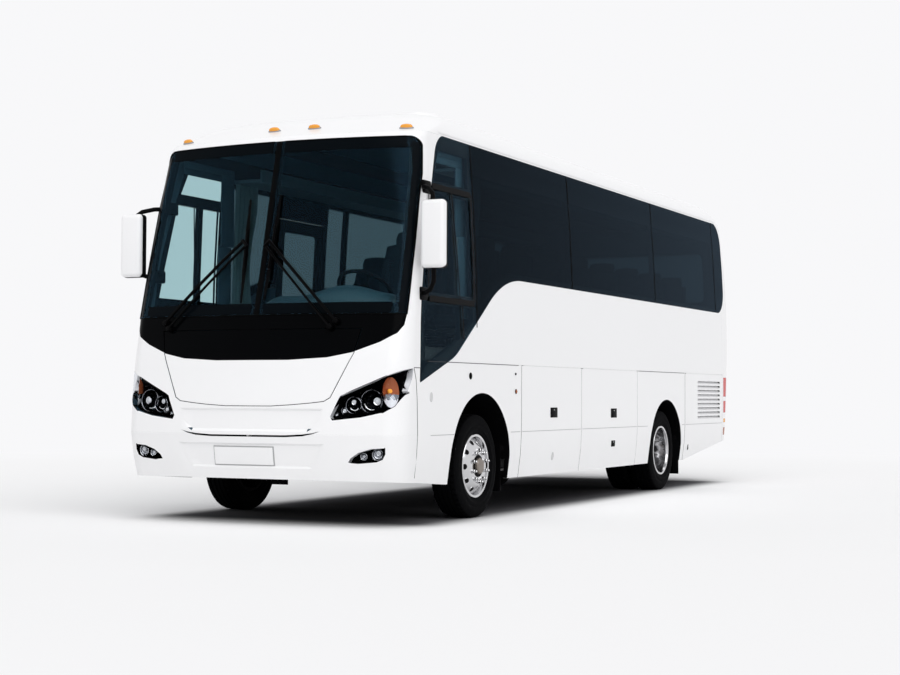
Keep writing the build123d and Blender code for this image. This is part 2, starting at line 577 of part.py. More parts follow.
for y in JACK_STATIONS:
    pad = box(RAIL_INNER, RAIL_OUTER, station(y) - 60, station(y) + 60, Z_JACK_PAD, Z_RAIL_LOW + 1)
    frame = frame + pad + flip(pad)
save("chassis_frame", frame)

WELL_INNER = -600.0
well = box(-SIDE_OUT, WELL_INNER, ENTRY_FRONT, ENTRY_REAR, 0, Z_FLOOR + 200)
inside = body_solid(WALL + 12.0, lowest=20.0, drop=WALL + 12.0)
floor = inside & box(-SIDE_OUT, SIDE_OUT, station(-1180), REAR_END, Z_FLOOR_LOW, Z_FLOOR)
kerb_ring = (INNER - body_solid(WALL + 60.0, lowest=20.0)) & box(
    -SIDE_OUT, SIDE_OUT, station(-1000), REAR_END, Z_BELT + 8, Z_BELT + 110)
kerb_foot = (inside - body_solid(WALL + 60.0, lowest=20.0)) & box(
    -SIDE_OUT, SIDE_OUT, station(-1000), REAR_END, Z_FLOOR, Z_BELT + 8)
floor = (floor + kerb_ring + kerb_foot) - well
floor = floor - box(-SIDE_OUT, SIDE_OUT, station(7080), REAR_END, 0, Z_BELT + 300)
save("cabin_floor", floor)

TREADS = [(420, 1165, 960), (690, 980, 780), (955, 800, 600)]      # height, outer x, inner x
RISER_TOPS = [690, 955, Z_FLOOR]
CHEEK = 20.0
steps = box(-1165, -600, ENTRY_FRONT, ENTRY_FRONT + CHEEK, 390, Z_FLOOR)
steps = steps + box(-1165, -600, ENTRY_REAR - CHEEK, ENTRY_REAR, 390, Z_FLOOR)
for (z, x_out, x_in), riser_top in zip(TREADS, RISER_TOPS):
    steps = steps + box(-x_out, -x_in, ENTRY_FRONT, ENTRY_REAR, z - 30, z)
    steps = steps + box(-x_in - CHEEK, -x_in, ENTRY_FRONT, ENTRY_REAR, z - 30, riser_top)
save("entry_steps", steps)


BAY_RELIEF = 45.0            # from the tray's edge to the thickest part of the doors


def luggage_bay(y0, y1):
    """Open-sided tray between a chassis rail and the luggage doors."""
    inner, outer, z0, z1 = RAIL_OUTER, HALF_WIDTH - WALL - BAY_RELIEF, 380, Z_BEARER_LOW
    tray = box(inner, outer, y0, y1, z0, z0 + 20) + box(inner, inner + 20, y0, y1, z0, z1)
    for y in (y0, (y0 + y1) / 2 - 10, y1 - 20):
        tray = tray + box(inner, outer, y, y + 20, z0, z1)
    return tray


left_bay = luggage_bay(BAY_START + 10, BAY_END - 10)
right_bay = flip(luggage_bay(ENTRY_REAR + 10, BAY_END - 10))
save("luggage_bays", Compound([left_bay.solid(), right_bay.solid()]))

TANK_RADIUS = 165.0
tank = rod(0, station(1000), 650 - TANK_RADIUS, TANK_RADIUS, 1500, "y")
save("air_tank", tank)


def arch_liner(axle_y, radius, x_inner):
    """Half-round tunnel over a wheel, with the mudflap behind it."""
    x_outer = HALF_WIDTH - WALL - 2
    ring = rod(x_inner, axle_y, WHEEL_Z, radius + 10, x_outer - x_inner, "x")
    ring = ring - rod(x_inner, axle_y, WHEEL_Z, radius, x_outer - x_inner, "x")
    ring = ring & box(0, SIDE_OUT, axle_y - radius - 20, axle_y + radius + 20, WHEEL_Z + 40, 2000)
    ring = ring & INNER
    flap_front = axle_y + radius - 22
    return ring + box(930, x_outer - 45, flap_front, flap_front + 10, 190, WHEEL_Z + 170)


liners = [arch_liner(station(-20), FRONT_ARCH_RADIUS + 2, 560),
          arch_liner(REAR_AXLE_Y, REAR_ARCH_RADIUS + 2, 560)]
save("arch_liners", Compound([s for part in liners for s in both_sides(part).solids()]))

save("engine_block", box(-380, 380, station(5640), station(6860), 560, 1075))


def leaf_spring(axle_y, z_pad):
    """Stack of leaves under a rail with its two hangers."""
    x0, x1 = RAIL_INNER - 5, RAIL_OUTER + 5
    spring = box(x0, x1, axle_y - 640, axle_y + 640, z_pad, z_pad + 22)
    spring = spring + box(x0, x1, axle_y - 380, axle_y + 380, z_pad - 20, z_pad)
    for y in (axle_y - 640, axle_y + 600):
        spring = spring + box(x0, x1, y, y + 40, z_pad, Z_RAIL_LOW)
    return spring


Z_SPRING = 520.0
front_spring = leaf_spring(FRONT_AXLE_Y, Z_SPRING)
beam = box(-820, 820, FRONT_AXLE_Y - 45, FRONT_AXLE_Y + 45, 385, 475)
EYE_RADIUS, EYE_HALF = 46.0, 58.0
eye = rod(KINGPIN_X, FRONT_AXLE_Y, WHEEL_Z - EYE_HALF, EYE_RADIUS, 2 * EYE_HALF, "z")
eye = eye + box(800, KINGPIN_X, FRONT_AXLE_Y - 38, FRONT_AXLE_Y + 38, 390, 470)
eye = eye - rod(KINGPIN_X, FRONT_AXLE_Y, 200, KINGPIN_RADIUS + FIT_CLEARANCE, 400, "z")
pad = box(RAIL_INNER - 10, RAIL_OUTER + 10, FRONT_AXLE_Y - 60, FRONT_AXLE_Y + 60, 470, Z_SPRING - 20)
front_axle = beam + eye + flip(eye) + pad + flip(pad) + front_spring + flip(front_spring)
save("front_axle", front_axle)

REAR_SPINDLE_RADIUS = 48.0
REAR_HUB_INNER = TRACK_REAR / 2 - DUAL_SPACING - 110
rear_tube = rod(-REAR_HUB_INNER + 2, REAR_AXLE_Y, WHEEL_Z, 68, 2 * REAR_HUB_INNER - 4, "x")
spindle = rod(-TRACK_REAR / 2 + 60, REAR_AXLE_Y, WHEEL_Z, REAR_SPINDLE_RADIUS, TRACK_REAR - 120, "x")
casing = Pos(0, REAR_AXLE_Y, WHEEL_Z) * Sphere(185)
nose = rod(0, REAR_AXLE_Y, WHEEL_Z, 90, 330, "y")
rear_spring = leaf_spring(REAR_AXLE_Y, Z_SPRING)
rear_pad = box(RAIL_INNER - 10, RAIL_OUTER + 10, REAR_AXLE_Y - 70, REAR_AXLE_Y + 70, 440, Z_SPRING - 20)
rear_axle = rear_tube + spindle + casing + nose + rear_pad + flip(rear_pad)
save("rear_axle", rear_axle + rear_spring + flip(rear_spring))

# ---------------------------------------------------------------- steering and wheels
PLATE = 40.0
plate_low = WHEEL_Z - EYE_HALF - FACE_CLEARANCE - PLATE
plate_high = WHEEL_Z + EYE_HALF + FACE_CLEARANCE
WEB_X0 = KINGPIN_X + EYE_RADIUS + 8
HUB_INNER = WEB_X0 + 34
STUB_END = TRACK_FRONT / 2 + 80
knuckle = rod(KINGPIN_X, FRONT_AXLE_Y, plate_low, 50, PLATE, "z")
knuckle = knuckle + rod(KINGPIN_X, FRONT_AXLE_Y, plate_high, 50, PLATE, "z")
knuckle = knuckle + rod(KINGPIN_X, FRONT_AXLE_Y, plate_low, KINGPIN_RADIUS, plate_high + PLATE - plate_low, "z")
for z in (plate_low, plate_high):
    knuckle = knuckle + box(KINGPIN_X, WEB_X0, FRONT_AXLE_Y - 50, FRONT_AXLE_Y + 50, z, z + PLATE)
knuckle = knuckle + box(WEB_X0, HUB_INNER - 4, FRONT_AXLE_Y - 60, FRONT_AXLE_Y + 60,
                        plate_low, plate_high + PLATE)
knuckle = knuckle + rod(HUB_INNER - 4, FRONT_AXLE_Y, WHEEL_Z, SPINDLE_RADIUS, STUB_END - HUB_INNER + 4, "x")
arm = box(KINGPIN_X - 100, KINGPIN_X + 40, FRONT_AXLE_Y + 40, FRONT_AXLE_Y + 190, plate_low, plate_low + 25)
knuckle = knuckle + arm
save("knuckle_left", knuckle)
save("knuckle_right", flip(knuckle))


def wheel_solid(profile, centre_x, axle_y):
    """Turn an (x, radius) profile about the wheel's axis."""
    face = Face(Wire.make_polygon([Vector(x, 0, r) for x, r in profile], close=True))
    return Pos(centre_x, axle_y, WHEEL_Z) * revolve(face, Axis.X)


BEAD_HALF = RIM_WIDTH / 2
BULGE = TYRE_WIDTH / 2
TYRE_PROFILE = [(-BEAD_HALF, BEAD_RADIUS), (BEAD_HALF, BEAD_RADIUS), (BULGE, 330),
                (BULGE - 16, TYRE_RADIUS - 14), (BULGE - 32, TYRE_RADIUS),
                (32 - BULGE, TYRE_RADIUS), (16 - BULGE, TYRE_RADIUS - 14), (-BULGE, 330)]
BARREL = [(-BEAD_HALF, BEAD_RADIUS), (-BEAD_HALF - 6, FLANGE_RADIUS),
          (-BEAD_HALF - 12, FLANGE_RADIUS),
          (-BEAD_HALF - 12, 240), (-BEAD_HALF + 20, 232), (BEAD_HALF - 20, 232),
          (BEAD_HALF + 12, 240), (BEAD_HALF + 12, FLANGE_RADIUS), (BEAD_HALF + 6, FLANGE_RADIUS),
          (BEAD_HALF, BEAD_RADIUS)]
FRONT_DISC = [(10, 234), (24, 234), (58, 168), (74, 150), (74, 88), (100, 84), (118, 62), (126, 40),
              (126, 0), (90, 0), (90, SPINDLE_RADIUS + FIT_CLEARANCE),
              (HUB_INNER - TRACK_FRONT / 2, SPINDLE_RADIUS + FIT_CLEARANCE),
              (HUB_INNER - TRACK_FRONT / 2, 84), (60, 84), (60, 140), (46, 160)]
HAND_HOLES = 10
HAND_HOLE_RADIUS = 21.0


def hand_holes(centre_x, axle_y, circle, x0, x1):
    """Ring of holes through a wheel disc."""
    holes = []
    for k in range(HAND_HOLES):
        angle = radians(360 / HAND_HOLES * (k + 0.5))
        holes.append(rod(centre_x + x0, axle_y + circle * sin(angle), WHEEL_Z + circle * cos(angle),
                         HAND_HOLE_RADIUS, x1 - x0, "x"))
    return holes


front_x = TRACK_FRONT / 2
front_rim = wheel_solid(BARREL, front_x, FRONT_AXLE_Y) + wheel_solid(FRONT_DISC, front_x, FRONT_AXLE_Y)
for hole in hand_holes(front_x, FRONT_AXLE_Y, 197, -10, 80):
    front_rim = front_rim - hole
front_tyre = wheel_solid(TYRE_PROFILE, front_x, FRONT_AXLE_Y)
save("front_rim_left", front_rim)
save("front_rim_right", flip(front_rim))
save("front_tyre_left", front_tyre)
save("front_tyre_right", flip(front_tyre))

rear_x = TRACK_REAR / 2
MEET = -DUAL_SPACING / 2
DISH = [(-62, 234), (-78, 234), (MEET + 12, 196), (MEET, 178), (MEET, 100), (MEET + 14, 100),
        (MEET + 14, 176), (MEET + 26, 192)]
REAR_HUB = [(REAR_HUB_INNER - rear_x, REAR_SPINDLE_RADIUS + FIT_CLEARANCE), (REAR_HUB_INNER - rear_x, 104),
            (MEET + 20, 104), (MEET + 20, 96), (-30, 92), (-18, 70), (-18, 0), (-50, 0),
            (-50, REAR_SPINDLE_RADIUS + FIT_CLEARANCE)]
outer_rim = wheel_solid(BARREL, rear_x, REAR_AXLE_Y) + wheel_solid(DISH, rear_x, REAR_AXLE_Y)
for hole in hand_holes(rear_x, REAR_AXLE_Y, 205, MEET - 10, -40):
    outer_rim = outer_rim - hole
inner_rim = mirror(outer_rim, about=Plane(origin=(rear_x + MEET, 0, 0), z_dir=(1, 0, 0)))
rear_rim = outer_rim + inner_rim + wheel_solid(REAR_HUB, rear_x, REAR_AXLE_Y)
rear_tyres = [wheel_solid(TYRE_PROFILE, rear_x, REAR_AXLE_Y),
              wheel_solid(TYRE_PROFILE, rear_x - DUAL_SPACING, REAR_AXLE_Y)]
save("rear_rims_left", rear_rim)
save("rear_rims_right", flip(rear_rim))
save("rear_tyres_left", Compound([t.solid() for t in rear_tyres]))
save("rear_tyres_right", Compound([flip(t).solid() for t in rear_tyres]))

# ---------------------------------------------------------------- fittings outside
marker_places = [(1008, 3072), (185, 3122)]
markers = []
for x, z in marker_places:
    y = face_y(x, z)
    lens = Pos(x, y, z) * Box(110, 80, 46)
    lens = fillet(lens.edges(), 20)
    markers += list((lens - OUTER).solids()) + list(flip(lens - OUTER).solids())
save("roof_markers", Compound(markers))

MIRROR_X, MIRROR_Y, MIRROR_Z = 1372.0, station(-1200), 2215.0
head = Pos(MIRROR_X, MIRROR_Y, MIRROR_Z) * Box(204, 110, 520)
head = fillet(head.edges().filter_by(Axis.Z), 38)
head = fillet(head.faces().sort_by(Axis.Z)[-1].edges() + head.faces().sort_by(Axis.Z)[0].edges(), 25)
save("mirror_heads", both_sides(head))


def bar(start, end, width, depth):
    """Straight flat bar between two points."""
    line = Vector(*end) - Vector(*start)
    across = Vector(0, 1, 0).cross(line)
    if across.length < 1:
        across = Vector(1, 0, 0)
    plane = Plane(origin=start, z_dir=line.normalized(), x_dir=across.normalized())
    return plane * Box(width, depth, line.length, align=(Align.CENTER, Align.CENTER, Align.MIN))


upper_arm = bar((1150, station(-960), 2600), (1300, station(-1180), 2560), 40, 40)
upper_arm = upper_arm + bar((1290, station(-1180), 2575), (1372, station(-1200), 2440), 40, 40)
lower_arm = bar((1190, station(-1130), 1770), (1330, station(-1180), 1790), 36, 36)
lower_arm = lower_arm + bar((1320, station(-1180), 1780), (1372, station(-1200), 1980), 36, 36)
arms = []
for arm_part in (upper_arm - OUTER - head, lower_arm - OUTER - head):
    arms += list(both_sides(arm_part.solids().sort_by(SortBy.VOLUME)[-1]).solids())
save("mirror_arms", Compound(arms))

# wipers: pivot, elbow, blade top and blade foot, as (x, z) on the glass
WIPERS = [((-855, 1556), (-185, 2185), (-190, 2530), (-147, 1710)),
          ((691, 1550), (52, 2176), (86, 2558), (61, 1727))]
wipers = []
for pivot, elbow, blade_top, blade_foot in WIPERS:
    def over(place, lift):
        return (place[0], face_y(place[0], place[1]) - lift, place[1])
    boss = rod(pivot[0], face_y(*pivot) - 60, pivot[1], 24, 90, "y") - OUTER
    boss = boss.solids().sort_by(SortBy.VOLUME)[-1]
    wiper = boss + bar(over(pivot, 50), over(elbow, 50), 26, 12)
    wiper = wiper + bar(over(elbow, 56), over(elbow, 20), 50, 30)
    wiper = wiper + bar(over(blade_foot, 30), over(blade_top, 30), 16, 34)
    wipers.append(wiper.solids().sort_by(SortBy.VOLUME)[-1] if len(wiper.solids()) > 1 else wiper.solid())
save("wipers", Compound(wipers))

# ---------------------------------------------------------------- cabin
dash_zone = prism_x([(station(-1560), Z_FLOOR), (station(-1090), Z_FLOOR), (station(-1010), 1500),
                     (station(-1060), 1600), (station(-1400), 1620), (station(-1560), 1560)], -1300, 1300)
dash_body = body_solid(WALL + 25.0, drop=WALL)
dashboard = (dash_body & dash_zone) - box(380, 860, station(-1330), station(-900), 0, 1470)
save("dashboard", dashboard)
STEER_X, STEER_Y, STEER_Z, STEER_TILT = 620.0, station(-900), 1830.0, 38.0
column_axis = Vector(0, sin(radians(STEER_TILT)), cos(radians(STEER_TILT)))
hub_point = Vector(STEER_X, STEER_Y, STEER_Z)
column_low = hub_point - column_axis * 760
column = Plane(origin=column_low, z_dir=column_axis) * Cylinder(
    34, 760 - 34, align=(Align.CENTER, Align.CENTER, Align.MIN))
column = column & box(-2000, 2000, -5000, 5000, Z_FLOOR, 3000)
save("steering_column", (column - dashboard).solids().sort_by(Axis.Z)[-1])
wheel_plane = Plane(origin=hub_point, z_dir=column_axis)
steering = wheel_plane * Torus(215, 15)
steering = steering + wheel_plane * Cylinder(52, 50)
for angle in (90, 210, 330):
    steering = steering + wheel_plane * (Rot(0, 0, angle) * Pos(120, 0, 0) * Box(190, 34, 14))
save("steering_wheel", steering)


def seat(x0, x1, y, floor_z, back_height):
    """Bench seat: plinth, cushion and a raked back with head rests."""
    plinth = box(x0 + 120, x1 - 120, y - 160, y + 160, floor_z, floor_z + 320)
    cushion = box(x0, x1, y - 240, y + 230, floor_z + 320, floor_z + 440)
    back = prism_x([(y + 150, floor_z + 400), (y + 270, floor_z + 400),
                    (y + 400, floor_z + back_height), (y + 310, floor_z + back_height)], x0, x1)
    return plinth + cushion + back


SEAT_PITCH = 760.0
SEAT_BACK = 1130.0
seats = []
for row in range(8):
    y = station(330 + SEAT_PITCH * row)
    left = seat(270, 1120, y, Z_FLOOR, SEAT_BACK)
    seats.append(left.solid())
    if row not in (0, 1):
        seats.append(flip(left).solid())
seats.append(seat(STEER_X - 235, STEER_X + 235, station(-420), Z_FLOOR, 1080).solid())
save("seats", Compound(seats))

rack = INNER & box(820, SIDE_OUT, station(-100), station(6600), 2840, 2870)
lip = box(820, 840, station(-100), station(6600), 2870, 2950)
save("luggage_racks", both_sides(rack + lip))

print("length", LENGTH, "wheelbase", WHEELBASE, "half width", HALF_WIDTH)
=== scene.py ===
"""Finishes, fittings, cabin and studio for a nine metre midi coach.

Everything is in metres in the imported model's frame: -Y is the front, +X the driver's
side, +Z up. Places along the body are given as a distance behind the front axle.
"""

from __future__ import annotations

import json
import logging
from collections.abc import Callable, Sequence
from dataclasses import dataclass
from enum import Enum
from math import cos, pi, radians, sin

import bmesh
import bpy
from bmesh.types import BMEdge, BMesh, BMFace, BMVert
from mathutils import Matrix, Vector
from mathutils.bvhtree import BVHTree

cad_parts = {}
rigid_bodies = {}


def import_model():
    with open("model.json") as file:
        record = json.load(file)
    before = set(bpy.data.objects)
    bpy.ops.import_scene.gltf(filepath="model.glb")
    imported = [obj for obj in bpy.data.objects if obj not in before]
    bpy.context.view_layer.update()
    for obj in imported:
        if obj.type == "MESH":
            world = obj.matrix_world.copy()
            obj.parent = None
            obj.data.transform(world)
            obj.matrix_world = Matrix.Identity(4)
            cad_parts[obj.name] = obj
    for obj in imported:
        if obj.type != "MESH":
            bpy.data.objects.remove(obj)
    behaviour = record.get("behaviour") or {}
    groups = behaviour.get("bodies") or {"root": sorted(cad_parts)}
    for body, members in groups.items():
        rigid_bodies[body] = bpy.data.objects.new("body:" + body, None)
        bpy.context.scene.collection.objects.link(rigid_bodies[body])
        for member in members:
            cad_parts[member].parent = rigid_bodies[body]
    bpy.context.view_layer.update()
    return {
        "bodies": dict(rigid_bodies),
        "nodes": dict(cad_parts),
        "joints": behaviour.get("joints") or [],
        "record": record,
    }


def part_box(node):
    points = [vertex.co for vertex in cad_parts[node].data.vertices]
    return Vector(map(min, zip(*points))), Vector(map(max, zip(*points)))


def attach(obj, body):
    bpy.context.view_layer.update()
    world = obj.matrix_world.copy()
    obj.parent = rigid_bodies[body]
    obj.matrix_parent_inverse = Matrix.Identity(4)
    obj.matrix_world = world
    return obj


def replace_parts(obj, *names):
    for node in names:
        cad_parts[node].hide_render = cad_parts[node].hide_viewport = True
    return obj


log = logging.getLogger("coach")

FRONT_AXLE_Y = -2.860
REAR_AXLE_Y = 1.960
WHEEL_Z = 0.423
HALF_TRACK = 1.070
TWIN_SPACING = 0.282
CAB_END = -0.130
CREASE = 32.0
SOFT_CREASE = 60.0
PRINT_LIFT = 0.0012
BODY_PANELS = (
    "roof", "front_mask", "front_bumper", "side_panels", "front_skirts", "rear_skirts",
    "rear_cap", "rear_bumper", "front_flap", "flap_scuttle", "scuttle", "windscreen",
    "body_glass", "window_bands", "engine_door", "luggage_door_left_front",
    "luggage_door_left_rear", "luggage_door_right_front", "luggage_door_right_rear",
    "side_door_left", "side_door_right", "front_lamps", "tail_lamps", "entry_door",
    "entry_door_glass",
)

Point = tuple[float, float, float]
Color = tuple[float, float, float, float]


class Side(Enum):
    """The two sides of the coach."""

    LEFT = 1
    RIGHT = -1

    @property
    def word(self) -> str:
        """The side's name as the nodes spell it."""
        return self.name.lower()


def station(distance: float) -> float:
    """Y of a place this far behind the front axle."""
    return FRONT_AXLE_Y + distance


# ------------------------------------------------------------------ shader helpers
def add_node(tree: bpy.types.NodeTree, kind: str, settings: dict | None = None,
             **inputs: object) -> bpy.types.Node:
    """Add a shader node, set its options and fill or link its inputs.

    Args:
        tree: The node tree to add to.
        kind: The node's type, without its ShaderNode prefix.
        settings: Properties of the node itself.
        inputs: Socket values or sockets to link, by name with _ for a space.

    Returns:
        The new node.
    """
    made = tree.nodes.new("ShaderNode" + kind)
    for key, value in (settings or {}).items():
        setattr(made, key, value)
    for key, value in inputs.items():
        socket = made.inputs[int(key[1:]) if key[0] == "i" and key[1:].isdigit()
                             else key.replace("_", " ")]
        if isinstance(value, bpy.types.NodeSocket):
            tree.links.new(value, socket)
        else:
            socket.default_value = value
    return made


def calculate(tree: bpy.types.NodeTree, operation: str, *values: object,
              ) -> bpy.types.NodeSocket:
    """Result of a math node fed with numbers or sockets."""
    inputs = {f"i{k}": value for k, value in enumerate(values)}
    return add_node(tree, "Math", {"operation": operation}, **inputs).outputs[0]


def soft_range(tree: bpy.types.NodeTree, value: bpy.types.NodeSocket, start: object,
               end: object, low: float = 0.0, high: float = 1.0, kind: str = "LINEAR",
               ) -> bpy.types.NodeSocket:
    """Value mapped from one range to another and held inside it."""
    return add_node(tree, "MapRange", {"clamp": True, "interpolation_type": kind}, Value=value,
                    From_Min=start, From_Max=end, To_Min=low, To_Max=high).outputs["Result"]


def object_place(tree: bpy.types.NodeTree) -> bpy.types.NodeSocket:
    """The point on the surface in the piece's own coordinates."""
    return add_node(tree, "TexCoord").outputs["Object"]


def make_group(name: str, inputs: dict[str, float], outputs: Sequence[str],
               fill: Callable[[bpy.types.NodeTree, bpy.types.Node, bpy.types.Node], None],
               ) -> bpy.types.NodeTree:
    """Build a shader node group once and hand it back on later calls.

    Args:
        name: The group's name.
        inputs: Float inputs with their defaults.
        outputs: Names of float outputs.
        fill: Function that adds the nodes between group input and output.

    Returns:
        The node group.
    """
    if name in bpy.data.node_groups:
        return bpy.data.node_groups[name]
    group = bpy.data.node_groups.new(name, "ShaderNodeTree")
    for key, value in inputs.items():
        socket = group.interface.new_socket(key, in_out="INPUT", socket_type="NodeSocketFloat")
        socket.default_value = value
    for key in outputs:
        group.interface.new_socket(key, in_out="OUTPUT", socket_type="NodeSocketFloat")
    fill(group, group.nodes.new("NodeGroupInput"), group.nodes.new("NodeGroupOutput"))
    return group


def fill_grime(tree: bpy.types.NodeTree, start: bpy.types.Node, end: bpy.types.Node) -> None:
    """Dust that thins out with height, broken up by cloudy noise.

    Args:
        tree: The group's nodes.
        start: The group's input node.
        end: The group's output node.
    """
    place = object_place(tree)
    height = add_node(tree, "SeparateXYZ", Vector=place).outputs["Z"]
    fade = soft_range(tree, height, 0.15, start.outputs["Top"], 1.0, 0.0)
    cloud = add_node(tree, "TexNoise", Vector=place, Scale=start.outputs["Scale"],
                     Detail=6.0, Roughness=0.62)
    part = soft_range(tree, cloud.outputs["Fac"], 0.35, 0.72)
    both = calculate(tree, "MULTIPLY", fade, part)
    mask = calculate(tree, "MULTIPLY", both, start.outputs["Amount"])
    tree.links.new(mask, end.inputs["Mask"])


def fill_grain(tree: bpy.types.NodeTree, start: bpy.types.Node, end: bpy.types.Node) -> None:
    """Fine and coarse noise added together, for moulded, cast and sprayed surfaces.

    Args:
        tree: The group's nodes.
        start: The group's input node.
        end: The group's output node.
    """
    place, scale = object_place(tree), start.outputs["Scale"]
    fine = add_node(tree, "TexNoise", Vector=place, Scale=scale, Detail=3.0).outputs["Fac"]
    coarse = add_node(tree, "TexNoise", Vector=place, Detail=4.0,
                      Scale=calculate(tree, "MULTIPLY", scale, 0.08)).outputs["Fac"]
    mix = calculate(tree, "MULTIPLY_ADD", coarse, start.outputs["Coarse"], fine)
    tree.links.new(mix, end.inputs["Height"])
    tree.links.new(coarse, end.inputs["Cloud"])


def fill_weave(tree: bpy.types.NodeTree, start: bpy.types.Node, end: bpy.types.Node) -> None:
    """Two crossed sets of threads.

    Args:
        tree: The group's nodes.
        start: The group's input node.
        end: The group's output node.
    """
    place = object_place(tree)
    waves = [add_node(tree, "TexWave", {"bands_direction": direction}, Vector=place,
                      Scale=start.outputs["Threads"], Distortion=0.6, Detail=1.0).outputs["Fac"]
             for direction in ("X", "Z")]
    tree.links.new(calculate(tree, "MULTIPLY", *waves), end.inputs["Height"])


def grime_mask(tree: bpy.types.NodeTree, amount: float, top: float, scale: float = 3.1,
               ) -> bpy.types.NodeSocket:
    """Place the grime group with its own values and give its mask.

    Args:
        tree: The node tree to add to.
        amount: Strength of the dust.
        top: Height where it ends.
        scale: Scale of the clouds in it.

    Returns:
        The mask's socket.
    """
    group = make_group("grime", {"Amount": 0.5, "Top": 1.0, "Scale": 3.0}, ("Mask",), fill_grime)
    return add_node(tree, "Group", {"node_tree": group}, Amount=amount, Top=top,
                    Scale=scale).outputs["Mask"]


def grain(tree: bpy.types.NodeTree, scale: float, coarse: float = 0.4) -> bpy.types.Node:
    """Place the grain group with its own values."""
    group = make_group("grain", {"Scale": 400.0, "Coarse": 0.5}, ("Height", "Cloud"), fill_grain)
    return add_node(tree, "Group", {"node_tree": group}, Scale=scale, Coarse=coarse)


def blended(tree: bpy.types.NodeTree, mask: bpy.types.NodeSocket, clean: object,
            dirty: object) -> bpy.types.NodeSocket:
    """Colour that goes from clean to dirty with a mask; both are colours or sockets.

    Args:
        tree: The node tree to add to.
        mask: Share of the dirty colour.
        clean: Colour or socket at 0.
        dirty: Colour or socket at 1.

    Returns:
        The blended colour's socket.
    """
    mix = add_node(tree, "Mix", {"data_type": "RGBA"}, Factor=mask)
    for key, value in (("A", clean), ("B", dirty)):
        if isinstance(value, bpy.types.NodeSocket):
            tree.links.new(value, mix.inputs[key])
        else:
            mix.inputs[key].default_value = value
    return mix.outputs["Result"]


# ------------------------------------------------------------------ finishes
@dataclass(frozen=True)
class Finish:
    """A surface with a colour, some grime and a fine relief.

    Specular, coat and metal are plain socket values; roughness varies with the grain.
    """

    name: str
    color: tuple[float, float, float]
    rough: float = 0.4
    metallic: float = 0.0
    coat: float = 0.0
    coat_rough: float = 0.04
    specular: float = 0.5
    grain_scale: float = 400.0
    relief: float = 0.0002
    rough_spread: float = 0.08
    grime: float = 0.0
    grime_top: float = 1.3
    grime_color: tuple[float, float, float] = (0.23, 0.21, 0.19)
    shade_spread: float = 0.0
    slot: str = "black_plastic"

    def build(self) -> bpy.types.Material:
        """Make the material, or find it if it was made before.

        Returns:
            The material.
        """
        if self.name in bpy.data.materials:
            return bpy.data.materials[self.name]
        material = bpy.data.materials.new(self.name)
        material.use_nodes = True
        tree = material.node_tree
        tree.nodes.clear()
        self.surface(tree)
        material.diffuse_color = (*self.color, 1.0)
        return material

    def relief_height(self, tree: bpy.types.NodeTree) -> bpy.types.NodeSocket:
        """Height that feeds the bump."""
        return grain(tree, self.grain_scale).outputs["Height"]

    def surface(self, tree: bpy.types.NodeTree) -> None:
        """Fill an empty tree with a shader whose colour, roughness and relief are nodes.

        Args:
            tree: The material's empty node tree.
        """
        cloud = grain(tree, self.grain_scale).outputs["Cloud"]
        lighter = tuple(min(1.0, c * (1 + self.shade_spread)) for c in self.color)
        varied = blended(tree, cloud, (*self.color, 1.0), (*lighter, 1.0))
        color = blended(tree, grime_mask(tree, self.grime, self.grime_top), varied,
                        (*self.grime_color, 1.0))
        rough = soft_range(tree, cloud, 0.3, 0.7, self.rough - self.rough_spread / 2,
                           self.rough + self.rough_spread / 2)
        bump = add_node(tree, "Bump", Strength=0.5, Distance=self.relief,
                        Height=self.relief_height(tree))
        shader = add_node(tree, "BsdfPrincipled", Base_Color=color, Metallic=self.metallic,
                          Roughness=rough, Coat_Weight=self.coat, Coat_Roughness=self.coat_rough,
                          Specular_IOR_Level=self.specular, Normal=bump.outputs["Normal"])
        add_node(tree, "OutputMaterial", Surface=shader.outputs["BSDF"])


@dataclass(frozen=True)
class Fabric(Finish):
    """Woven seat cloth."""

    threads: float = 260.0

    def relief_height(self, tree: bpy.types.NodeTree) -> bpy.types.NodeSocket:
        """Crossed threads in place of plain grain.

        Args:
            tree: The material's node tree.

        Returns:
            The height's socket.
        """
        group = make_group("weave", {"Threads": 200.0}, ("Height",), fill_weave)
        return add_node(tree, "Group", {"node_tree": group}, Threads=self.threads,
                        ).outputs["Height"]


